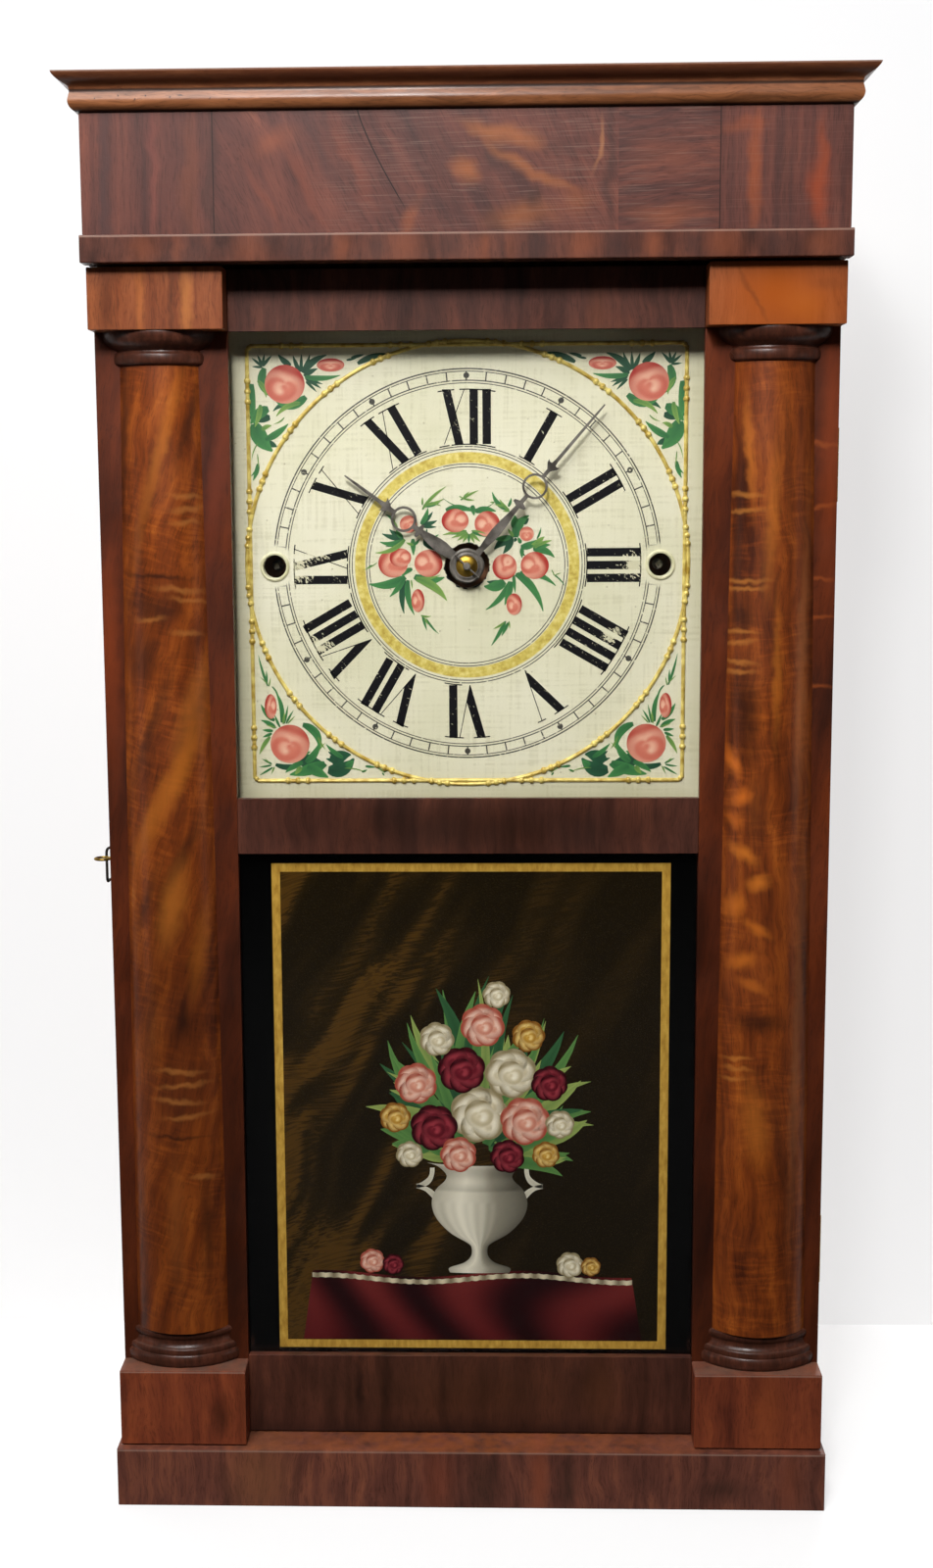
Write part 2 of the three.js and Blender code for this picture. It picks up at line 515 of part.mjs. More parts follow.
// ---------------------------------------------------------------- pendulum
const pendulumY = (DIAL_BACK + FRONT_PLATE) / 2;
const bobZ = pivotZ - PENDULUM.long;
const { x: pendulumX, bob, half: bulge } = PENDULUM;
add('pendulum_rod', 'steel', join(
  rod('z', [pendulumX, pendulumY], PENDULUM.rod, bobZ + bob, pivotZ, 12),
  rod('y', [pendulumX, pivotZ], PENDULUM.pin, pendulumY - PENDULUM.pin, betweenPlates[0] - 0.5),
));
add('pendulum_bob', 'brass', turning('y', [pendulumX, bobZ], [
  [0, -1], [0.35, -0.93], [0.65, -0.71], [0.87, -0.44], [1, -0.22],
  [1, 0.22], [0.87, 0.44], [0.65, 0.71], [0.35, 0.93], [0, 1],
].map(([r, a]) => [r * bob, pendulumY + a * bulge]), 32));

export default clock;
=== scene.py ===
import math
import random

import bmesh
import bpy
from mathutils import Matrix, Vector


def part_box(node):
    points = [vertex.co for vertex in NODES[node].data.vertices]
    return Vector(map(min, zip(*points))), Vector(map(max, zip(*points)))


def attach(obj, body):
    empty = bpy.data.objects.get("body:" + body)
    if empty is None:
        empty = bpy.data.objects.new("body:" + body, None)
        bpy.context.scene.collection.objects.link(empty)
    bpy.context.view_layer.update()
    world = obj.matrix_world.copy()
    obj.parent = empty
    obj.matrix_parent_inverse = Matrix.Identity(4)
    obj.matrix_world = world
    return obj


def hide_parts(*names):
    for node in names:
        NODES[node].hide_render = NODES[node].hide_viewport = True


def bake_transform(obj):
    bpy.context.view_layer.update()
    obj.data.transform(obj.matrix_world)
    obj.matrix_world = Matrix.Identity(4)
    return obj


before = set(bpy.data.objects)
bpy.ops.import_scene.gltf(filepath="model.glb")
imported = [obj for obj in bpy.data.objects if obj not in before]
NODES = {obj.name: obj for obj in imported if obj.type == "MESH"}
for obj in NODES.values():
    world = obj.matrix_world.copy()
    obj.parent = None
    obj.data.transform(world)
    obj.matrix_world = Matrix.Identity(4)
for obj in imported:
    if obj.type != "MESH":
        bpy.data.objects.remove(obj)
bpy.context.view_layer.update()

# Column and cornice shelf clock. Shapes are drawn here in millimetres, in the frame's own axes:
# X to the right, Y to the back, Z up. They become metres when a piece is finished.
MM = 0.001
TAU = math.tau

# Planes and heights of the frame that the new pieces are fitted to.
HALF = 200.0            # half width over the case sides
FRIEZE_Y = -56.1        # front of the frieze board
DOOR_Y = -32.1          # front of the stiles
DIAL_Y = -10.1          # painted face of the dial board
PAINT_Y = -24.5         # back of the paint behind the tablet glass
BACK_Y = 67.9           # back of the case
# Where each column's base, shaft and capital begin, and where its capital ends.
PLINTH_Z, SHAFT_Z, NECK_Z, ABACUS_Z = 79.2, 99.5, 644.0, 661.6
CORNICE_Z, CORNICE_HIGH, CORNICE_OUT = 771.5, 18.7, 11.8    # foot, height and overhang
COLUMN_X = 165.4
DIAL_Z = 535.0          # centre of the dial
WINDING_X = 107.15      # winding holes, out from the centre
GOLD_RING, GOLD_WIDTH = 59.5, 5.8
SIDES = (("left", -1), ("right", 1))
UPRIGHT = Matrix.Rotation(math.pi / 2, 4,
                          "X")      # stands what was drawn flat up on edge, its top to the front
ON_DIAL = Matrix.Translation((0, DIAL_Y, DIAL_Z))


# ------------------------------------------------------------------ nodes and finishes
def linear(shade):
    """An sRGB hex colour as linear red, green, blue and alpha."""
    parts = [int(shade[i:i + 2], 16) / 255 for i in (1, 3, 5)]
    return [p / 12.92 if p <= 0.04045 else ((p + 0.055) / 1.055) ** 2.4 for p in parts] + [1.0]


def node(tree, kind, **settings):
    """Adds one node. A setting is an attribute or an input; a node or an output given for it is linked."""
    made = tree.nodes.new("ShaderNode" + kind)
    for name, value in settings.items():
        if name == "stops":
            ramp = made.color_ramp
            while len(ramp.elements) < len(value):
                ramp.elements.new(0.5)
            for element, (at, shade) in zip(ramp.elements, value):
                element.position = at
                element.color = linear(shade)
        elif hasattr(made, name):
            setattr(made, name, value)
        else:
            sockets = [s for s in made.inputs if s.enabled and s.name == name.replace("_", " ")]
            for socket, given in zip(sockets, value if isinstance(value, list) else [value]):
                if isinstance(given, bpy.types.Node):
                    given = next(s for s in given.outputs if s.enabled)
                if isinstance(given, bpy.types.NodeSocket):
                    tree.links.new(given, socket)
                else:
                    socket.default_value = linear(given) if isinstance(given, str) else given
    return made


def new_finish(name):
    """A finish's node tree, and the place on the object, in metres."""
    finish = bpy.data.materials.new(name)
    finish.use_nodes = True
    tree = finish.node_tree
    tree.nodes.clear()
    return finish, tree, node(tree, "TexCoord").outputs["Object"]


def surface(tree, **shader):
    node(tree, "OutputMaterial", Surface=node(tree, "BsdfPrincipled", **shader))


def blend(tree, share, below, above, how="MIX"):
    return node(tree, "Mix", data_type="RGBA", blend_type=how, Factor=share, A=below, B=above).outputs[2]


def share(tree, value, low, high, to_low=0.0, to_high=1.0):
    """The value, stretched so that low to high becomes to_low to to_high."""
    return node(tree, "MapRange", interpolation_type="SMOOTHSTEP", Value=value, From_Min=low, From_Max=high,
                To_Min=to_low, To_Max=to_high)


def sum_of(tree, first, second, how="ADD"):
    return node(tree, "Math", operation=how, Value=[first, second])


def in_mm(tree, place, x, z):
    """The place on the front face in mm, from the point x, z. Its depth is pressed to nothing."""
    return node(tree, "Mapping", vector_type="TEXTURE", Vector=place, Location=(x * MM, 0, z * MM),
                Scale=(MM, 1e6, MM))


def band(tree, value, middle, width, soft=0.12):
    """1 where the value lies within a line of this middle and width, in mm."""
    off = node(tree, "Math", operation="ABSOLUTE", Value=sum_of(tree, value, middle, "SUBTRACT"))
    return share(tree, off, width / 2 - soft, width / 2 + soft, 1.0, 0.0)


def streaks(tree, place, across, along, turn=0.0, shift=0.0, detail=4.0, rough=0.55):
    """Noise drawn out along the grain: its size in mm across and along, and the grain's lean in degrees."""
    lie = node(tree, "Mapping", vector_type="TEXTURE", Vector=place,
               Location=(shift, shift * 0.7, shift * 1.3),
               Rotation=(0, math.radians(turn), 0), Scale=(across * MM, across * MM, along * MM))
    return node(tree, "TexNoise", Scale=1.0, Detail=detail, Roughness=rough, Vector=lie)


def wander(tree, place, size, amount, shift=0.0):
    """The place, pushed about by a soft noise: the size of its waves and how far it pushes, in mm."""
    lie = node(tree, "Mapping", vector_type="TEXTURE", Vector=place, Location=(shift, shift, shift),
               Scale=(size * MM,) * 3)
    wave = node(tree, "TexNoise", Scale=1.0, Detail=2.0, Vector=lie).outputs["Color"]
    push = node(tree, "VectorMath", operation="SUBTRACT", Vector=[wave, (0.5, 0.5, 0.5)])
    push = node(tree, "VectorMath", operation="SCALE", Vector=push, Scale=amount * 2 * MM)
    return node(tree, "VectorMath", operation="ADD", Vector=[place, push])


def patch(tree, place, at, size, turn=0.0, soft=1.0):
    """A soft-edged oval on the front, 1 at its middle: its centre and its half size (x, z) in mm, and its
    lean in degrees."""
    lie = node(tree, "Mapping", vector_type="TEXTURE", Vector=place, Location=(at[0] * MM, 0, at[1] * MM),
               Rotation=(0, math.radians(turn), 0), Scale=(size[0] * MM, 1e3, size[1] * MM))
    return share(tree, node(tree, "TexGradient", gradient_type="SPHERICAL", Vector=lie), 0.0, soft)


def figured(tree, place, tones, ribbon, cloud, turn=0.0, curl=0.0, shift=0.0, bend=(40, 6)):
    """One leaf of figured mahogany, from dark to light: ribbons (mm across, along), clouds (mm across, along)
    and the short pale curls that stand across the grain."""
    bent = wander(tree, place, bend[0], bend[1], shift)
    lines = streaks(tree, bent, *ribbon, turn, shift, 5.0, 0.6)
    depth = streaks(tree, bent, *cloud, turn, shift + 0.31, 3.0)
    tone = node(tree, "Mix", Factor=0.45, A=lines, B=depth)
    if curl:
        ripple = streaks(tree, bent, 16.0, 2.4, turn, shift + 0.17, 3.0, 0.5)
        where = share(tree, streaks(tree, bent, 38.0, 30.0, turn, shift + 0.57, 2.0), 0.42, 0.62)
        lift = sum_of(tree, share(tree, ripple, 0.42, 0.68, -0.5, 1.0),
                      sum_of(tree, where, curl, "MULTIPLY"), "MULTIPLY")
        tone = sum_of(tree, tone, lift)
    count = len(tones)
    stops = [(0.22 + 0.56 * i / (count - 1), shade) for i, shade in enumerate(tones)]
    leaf = node(tree, "ValToRGB", Fac=tone, stops=stops)
    pores = share(tree, streaks(tree, bent, 0.7, 9.0, turn, shift + 0.11, 2.0), 0.34, 0.48, 0.3, 0.0)
    return blend(tree, pores, leaf, "#1d0c07")


# Old mahogany veneer under shellac, worn to a soft gloss, with a fine uneven skin and grey dust where it can
# lie: grain with depth, and a low sheen that breaks up.
def shellac(tree, place, colour, rough=0.38, dust=0.0):
    wear = streaks(tree, place, 50.0, 50.0, shift=2.1, detail=2.0)
    skin = streaks(tree, place, 1.6, 1.6, shift=1.4, detail=3.0)
    if dust:
        up = node(tree, "SeparateXYZ", Vector=node(tree, "NewGeometry").outputs["Normal"]).outputs["Z"]
        settled = share(tree, streaks(tree, place, 14.0, 14.0, shift=2.6), 0.3, 0.6, dust * 0.6, dust)
        lying = sum_of(tree, share(tree, up, 0.75, 0.98), settled, "MULTIPLY")
        colour = blend(tree, lying, colour, "#6f6357")
    surface(tree, Base_Color=colour, Roughness=share(tree, wear, 0.3, 0.7, rough - 0.05, rough + 0.07),
            IOR=1.5,
            Specular_IOR_Level=0.2, Coat_Weight=0.06, Coat_Roughness=0.16,
            Normal=node(tree, "Bump", Strength=0.12, Distance=0.0004, Height=skin))


def inlaid(tree, place, colour, patches, shift=0.0, ragged=(7, 2.6)):
    """Lays marks of the figure over a veneer. Each is (colour, strength, centre, half size, lean)."""
    bent = wander(tree, place, *ragged, shift + 0.9)
    for shade, strength, at, size, lean in patches:
        mask = sum_of(tree, patch(tree, bent, at, size, lean), strength, "MULTIPLY")
        colour = blend(tree, mask, colour, shade)
    return colour


def mahogany(name, tones, ribbon=(5, 90), cloud=(30, 60), turn=0.0, curl=0.0, shift=0.0, bend=(40, 6),
             patches=(), arrises=(), grooves=(), dust=0.0, rough=0.38):
    """A finish of mahogany veneer, with its marks. At some heights its arrises are pale, with wear and a painted
    highlight where they catch the light; at others its grooves are dark with a painted shade."""
    finish, tree, place = new_finish(name)
    colour = figured(tree, place, tones, ribbon, cloud, turn, curl, shift, bend)
    if patches:
        colour = inlaid(tree, place, colour, patches, shift)
    height = node(tree, "SeparateXYZ", Vector=in_mm(tree, place, 0, 0)).outputs["Z"]
    # Paler arrises: wear, with a painted highlight where the light catches them.
    for at in arrises:
        rubbed = sum_of(tree, band(tree, height, at, 0.8, 0.35), 0.45, "MULTIPLY")
        colour = blend(tree, rubbed, colour, "#b09080")
    # Painted shade in the grooves.
    for at, width in grooves:
        painted_groove_shade = sum_of(tree, band(tree, height, at, width, 0.5), 0.85, "MULTIPLY")
        colour = blend(tree, painted_groove_shade, colour, "#190c07")
    shellac(tree, place, colour, rough, dust)
    return finish


# ------------------------------------------------------------------ pieces
def piece(name, bm, body, finish, stands_for=(), sharp=35.0):
    """Finishes a mesh drawn in mm as a piece. It rides on a body, or on none if it is to be blended."""
    bmesh.ops.remove_doubles(bm, verts=bm.verts, dist=1e-4)
    bmesh.ops.recalc_face_normals(bm, faces=bm.faces)
    mesh = bpy.data.meshes.new(name)
    bm.to_mesh(mesh)
    bm.free()
    mesh.transform(Matrix.Scale(MM, 4))
    mesh.shade_smooth()
    mesh.set_sharp_from_angle(angle=math.radians(sharp))
    mesh.materials.append(finish)
    made = bpy.data.objects.new(name, mesh)
    bpy.context.scene.collection.objects.link(made)
    if body:
        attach(made, body)
    if stands_for:
        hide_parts(*stands_for)
    return made


def eased(name, finish, width=0.5, segments=3):
    """Keeps a CAD solid, takes the sharpness off its arrises and gives it its finish."""
    solid = NODES[name]
    weld = solid.modifiers.new("weld", "WELD")
    weld.merge_threshold = 1e-5
    bevel = solid.modifiers.new("eased", "BEVEL")
    bevel.width = width * MM
    bevel.segments = segments
    bevel.limit_method = "ANGLE"
    bevel.angle_limit = math.radians(30)
    solid.data.materials.clear()
    solid.data.materials.append(finish)


def smooth_line(points, steps=4):
    """A curve through all the points."""
    line = []
    padded = [points[0], *points, points[-1]]
    for a, b, c, d in zip(padded, padded[1:], padded[2:], padded[3:]):
        for k in range(steps):
            t = k / steps
            line.append(tuple(
                0.5 * (2 * q + (r - p) * t + (2 * p - 5 * q + 4 * r - s) * t ** 2
                       + (3 * q - p - 3 * r + s) * t ** 3)
                for p, q, r, s in zip(a, b, c, d)))
    return [*line, points[-1]]


def turned(profile, centre, axis="z", steps=72):
    """A profile of (radius, height) turned on a lathe. On axis y the height runs towards the front."""
    bm = bmesh.new()
    points = [bm.verts.new((r, 0, h)) for r, h in profile]
    edges = [bm.edges.new(pair) for pair in zip(points, points[1:])]
    bmesh.ops.spin(bm, geom=points + edges, axis=(0, 0, 1), cent=(0, 0, 0), angle=TAU, steps=steps,
                   use_merge=True)
    bmesh.ops.remove_doubles(bm, verts=bm.verts, dist=1e-4)
    lie = UPRIGHT if axis == "y" else Matrix()
    bmesh.ops.transform(bm, matrix=Matrix.Translation(centre) @ lie, verts=bm.verts)
    return bm


def saw(bm, at, facing):
    """Saws off what lies beyond a plane and closes the cut."""
    bmesh.ops.bisect_plane(bm, geom=bm.verts[:] + bm.edges[:] + bm.faces[:], plane_co=at, plane_no=facing,
                           clear_outer=True)
    bmesh.ops.holes_fill(bm, edges=[e for e in bm.edges if e.is_boundary])


def half_turned(x, behind, profile):
    """A turning of (half width, height) sawn down its length, with its flat side on the stile."""
    round_ = [(math.hypot(half, behind), z) for half, z in profile]
    bm = turned([(0, round_[0][1]), *round_, (0, round_[-1][1])], (x, DOOR_Y + behind, 0), steps=112)
    saw(bm, (0, DOOR_Y, 0), (0, 1, 0))
    return bm


# ------------------------------------------------------------------ finishes of the case and door
# Tones of the veneers, from dark to light, and of the marks laid over them.
PLUM = ["#1e110d", "#381f18", "#502d23", "#65392a", "#7f4931"]
BROWN = ["#241008", "#3e1c0e", "#582913", "#70371a", "#8a4824"]
RED = ["#1e0c06", "#371609", "#4f210e", "#652c12", "#7c3a18"]
FLAME = ["#250d05", "#4a1f0b", "#713411", "#914918", "#b46a2a"]
HONEY = ["#38200f", "#5a3620", "#7c4c2e", "#9a6340", "#b27e54"]
# The frieze's tones, greyed by a painted sheen of its worn gloss.
SHEEN_GREYED = ["#2c1a18", "#422723", "#573129", "#6d3d30", "#864f38"]
SLAB = ["#2c1a16", "#4c2c24", "#683c30", "#824c38", "#9a5e42"]
PLINTH = ["#341810", "#58281a", "#763822", "#8e4628", "#a45832"]
ABACUS = ["#3c1c0e", "#602d17", "#7c4122", "#91512d", "#ae6a3c"]
TURNED = ["#1c0e0a", "#301a12", "#45251a", "#5a3224", "#744534"]
# Colours of the figure's marks. The darkest also serves as a painted shade low on the stiles.
AMBER, SHADE, DARK_FIGURE_AND_SHADE = "#a8601e", "#3a1c0e", "#2a1208"

slab_wood = mahogany(
    "mahogany_slab_cross_grain", SLAB, (6, 60), (20, 60), shift=0.4, arrises=(33.2,), rough=0.45, patches=[
        ("#33241c", 0.6, (8, 14), (16, 40), 0), ("#33241c", 0.5, (56, 12), (8, 30), 0),
        ("#9a5034", 0.5, (40, 18), (9, 40), 0), ("#8a4630", 0.4, (-18, 16), (14, 40), 0),
        ("#30211a", 0.5, (145, 12), (22, 10), 0), ("#8e4c34", 0.45, (182, 16), (12, 40), 0),
        ("#8a4a22", 0.6, (0, 35), (240, 2.4), 0), ("#8a5a34", 0.3, (-120, 16), (30, 40), 0)])
side_wood = mahogany("mahogany_side_boards", BROWN, (9, 260), (50, 300), shift=1.2, rough=0.5)
band_wood = mahogany(
    "mahogany_band_cross_grain", PLUM, (7, 40), (15, 30), shift=2.2, arrises=(708.7,), patches=[
        *(("#84462a", strength, (x, 702), (half, 16), 0) for x, half, strength in (
            (-168, 12, 0.4), (-150, 4, 0.3), (-112, 14, 0.35), (-64, 8, 0.5), (-30, 16, 0.4), (10, 6, 0.5),
            (24, 5, 0.3), (62, 14, 0.45), (98, 9, 0.55), (134, 16, 0.4), (186, 14, 0.4))),
        *(("#3a2420", 0.6, (x, 702), (half, 14), 0) for x, half in (
            (-140, 8), (-90, 7), (-46, 7), (-8, 12), (38, 8), (80, 9), (118, 10), (160, 9)))])
stile_wood = mahogany(
    "mahogany_stiles", RED, (12, 120), (36, 90), turn=8, shift=4.6, rough=0.42, patches=[
        # Painted shade: the outer stiles darker towards the bottom, where less light falls.
        (DARK_FIGURE_AND_SHADE, 0.45, (-200, 60), (60, 260), 0), (DARK_FIGURE_AND_SHADE, 0.4, (200, 60), (60, 260), 0),
        ("#7c3414", 0.6, (196, 600), (10, 130), 0), ("#7c3414", 0.5, (-196, 480), (9, 110), 0),
        ("#73311a", 0.45, (-134, 590), (9, 90), 8), ("#2c120a", 0.4, (-134, 400), (10, 60), -12),
        # Beside the columns the stiles go darker towards the bottom: partly darker wood, partly painted shade
        # where the columns keep the light off.
        ("#180a05", 0.65, (-136, 160), (20, 260), 0), ("#180a05", 0.55, (136, 150), (20, 250), 0),
        *(("#94481e", 0.5, (190, z), (16, 2.2), lean) for z, lean in (
            (600, 4), (566, -6), (528, 5), (507, -3), (470, 6)))])
rail_wood = mahogany(
    "mahogany_rails_cross_grain", PLUM, (7, 70), (24, 60), shift=5.3, rough=0.42, patches=[
        ("#6e3c24", 0.4, (70, 670), (8, 40), 0), ("#2e1c18", 0.5, (-20, 672), (14, 40), 0),
        ("#241108", 0.8, (0, 391), (190, 34), 0), ("#241009", 0.4, (60, 392), (12, 30), 0),
        # Painted shade: the bottom rail, set back between the plinths, darker low down and near black at its
        # foot.
        ("#38200f", 0.6, (0, 58), (190, 50), 0), ("#100705", 0.85, (0, 30), (270, 20), 0),
        ("#1e100a", 0.7, (-64, 62), (4, 34), 0), ("#22120b", 0.6, (-48, 62), (5, 34), 0),
        ("#22120b", 0.5, (-16, 62), (5, 34), 0), ("#55301c", 0.5, (76, 60), (16, 34), 0)])
plinth_wood = mahogany(
    "mahogany_plinths", PLINTH, (7, 90), (24, 80), shift=7.9, dust=0.4, rough=0.45, arrises=(78.4,),
    patches=[
(SHADE, 0.6, (-142, 52), (10, 18), 0), (SHADE, 0.4, (-130, 60), (5, 40), 0),
("#8a4420", 0.4, (170, 60), (16, 40), 0)])
abacus_wood = mahogany(
    "mahogany_abaci", ABACUS, (5, 90), (16, 70), shift=8.8, patches=[
        ("#b06c34", 0.6, (-147, 677), (5, 40), 0), ("#a8602c", 0.5, (-172, 677), (4, 40), 0),
        (SHADE, 0.5, (-155, 677), (3, 40), 0), (SHADE, 0.4, (-190, 677), (8, 40), 0),
        ("#98480e", 0.95, (165, 676), (60, 44), 0), ("#6e3410", 0.6, (150, 678), (2.2, 30), -30),
        ("#a45416", 0.5, (178, 672), (18, 14), 20), ("#703612", 0.4, (190, 682), (16, 5), 8)])
turned_wood = mahogany("turned_mahogany_caps_and_bases", TURNED, (3, 12), (20, 20), shift=9.4, dust=0.5,
                       rough=0.3)
# Painted shade in the quirk above the bead and under the bead; the top arris pale with wear and a painted
# highlight.
cornice_wood = mahogany(
    "mahogany_cornice_moulding", HONEY, (4, 110), (16, 120), turn=90, shift=6.7,
    grooves=((781.6, 1.5), (771.6, 1.0)), arrises=(789.9,), rough=0.34, patches=[
        ("#54291c", 0.75, (0, 787), (480, 9), 0),
        *(("#1a0d08", 0.9, (x, z), (half, 0.8), 0) for x, z, half in (
            (-190, 777, 0.8), (-178, 778, 0.7), (-170, 776.5, 0.7), (-163, 778, 0.8), (-152, 777, 0.9),
            (-146, 779, 3.0), (-120, 776, 0.8), (-131, 777, 0.7)))])


# Crotch mahogany on the frieze: three leaves butted at two joints and a plainer strip let in, rubbed dull and
# scratched along its length, with one old crack. Its tones are greyed by a painted sheen of the gloss.
def frieze_finish():
    finish, tree, place = new_finish("crotch_mahogany_frieze")
    parts = node(tree, "SeparateXYZ", Vector=in_mm(tree, place, 0, 0))
    x, z = parts.outputs["X"], parts.outputs["Z"]
    upright = figured(tree, place, SHEEN_GREYED, (7, 160), (18, 200), 0, 0, 3.1, (60, 3))
    crotch = figured(tree, place, SHEEN_GREYED, (12, 110), (34, 60), -26, 0.0, 3.7, (70, 9))
    strip = figured(tree, place, SHEEN_GREYED, (3, 60), (14, 80), 86, 0.0, 3.9, (60, 8))
    colour = blend(tree, share(tree, x, -131.0, -130.4), upright, crotch)
    colour = blend(tree, share(tree, x, 79.4, 80.0), colour, strip)
    colour = blend(tree, share(tree, x, 131.8, 132.4), colour, upright)
    colour = inlaid(tree, place, colour, [
        ("#3a2a2a", 0.59, (-187, 740), (5, 69), 0), ("#7c4036", 0.31, (-162, 740), (3, 78), 0),
        ("#85472c", 0.31, (-142, 736), (8, 65), 0), ("#35241f", 0.51, (-132, 740), (5, 69), 0),
        ("#8e4c2e", 0.34, (-98, 756), (18, 10), -20), ("#85432c", 0.31, (-84, 735), (5, 44), -26),
        ("#85432c", 0.28, (-58, 745), (5, 47), -26), ("#80402a", 0.28, (-104, 728), (4, 34), -26),
        ("#3d2a28", 0.34, (-70, 742), (6, 41), -26), ("#96502a", 0.37, (-28, 716), (21, 5), -65),
        ("#a8602e", 0.50, (0, 740), (13, 8), 25), ("#aa6430", 0.46, (13, 760), (23, 8), 18),
        ("#a4602e", 0.43, (30, 757), (18, 8), 25), ("#a8622e", 0.40, (26, 744), (34, 5), 32),
        ("#9c5a2a", 0.37, (48, 734), (21, 5), 12), ("#9c5a2a", 0.40, (30, 718), (26, 12), 0),
        ("#945228", 0.31, (60, 724), (13, 13), 0), ("#33201a", 0.59, (37, 726), (6, 9), 0),
        ("#3a2622", 0.51, (14, 746), (10, 7), 20), ("#3a2826", 0.51, (-22, 724), (18, 8), 10),
        ("#3c2824", 0.42, (50, 752), (16, 9), 0), ("#33211e", 0.64, (75, 740), (5, 69), 0),
        ("#a87048", 0.50, (68.5, 752), (2, 18), 4), ("#93502c", 0.31, (105, 718), (31, 10), 0),
        ("#80462e", 0.25, (105, 748), (29, 13), 0), ("#8a4422", 0.37, (143, 762), (16, 6), 0),
        ("#96481e", 0.46, (150, 738), (5, 52), 0), ("#3a2622", 0.42, (165, 740), (9, 69), 0),
        ("#963c14", 0.53, (184, 726), (10, 31), 0), ("#8e3c16", 0.43, (185, 746), (5, 29), 0),
        ("#2e1c1a", 0.42, (197, 740), (5, 69), 0)], 3.1, (20, 7))
    scratch = share(tree, streaks(tree, place, 0.6, 30, 89, 1.7, 2.0), 0.54, 0.68, 0.0, 0.2)
    middle = sum_of(tree, share(tree, x, -90, -50), share(tree, x, 125, 131, 1.0, 0.3), "MULTIPLY")
    colour = blend(tree, sum_of(tree, scratch, middle, "MULTIPLY"), colour, "#94786a")
    # The crack curves away from the top: its place across, for how far down it is.
    down = node(tree, "MapRange", Value=z, From_Min=772.0, From_Max=722.0)
    swing = node(tree, "MapRange", Value=sum_of(tree, down, 1.25, "POWER"), To_Min=-55.3, To_Max=-31.0)
    crack = band(tree, sum_of(tree, x, swing, "SUBTRACT"), 0.0, 0.7, 0.2)
    lines = sum_of(tree, crack, share(tree, z, 718, 730), "MULTIPLY")
    for joint in (-130.7, 132.1):
        lines = sum_of(tree, lines, sum_of(tree, band(tree, x, joint, 0.7, 0.2), 0.7, "MULTIPLY"),
                       "MAXIMUM")
    colour = blend(tree, lines, colour, "#140a07")
    shellac(tree, place, colour, 0.46)
    return finish


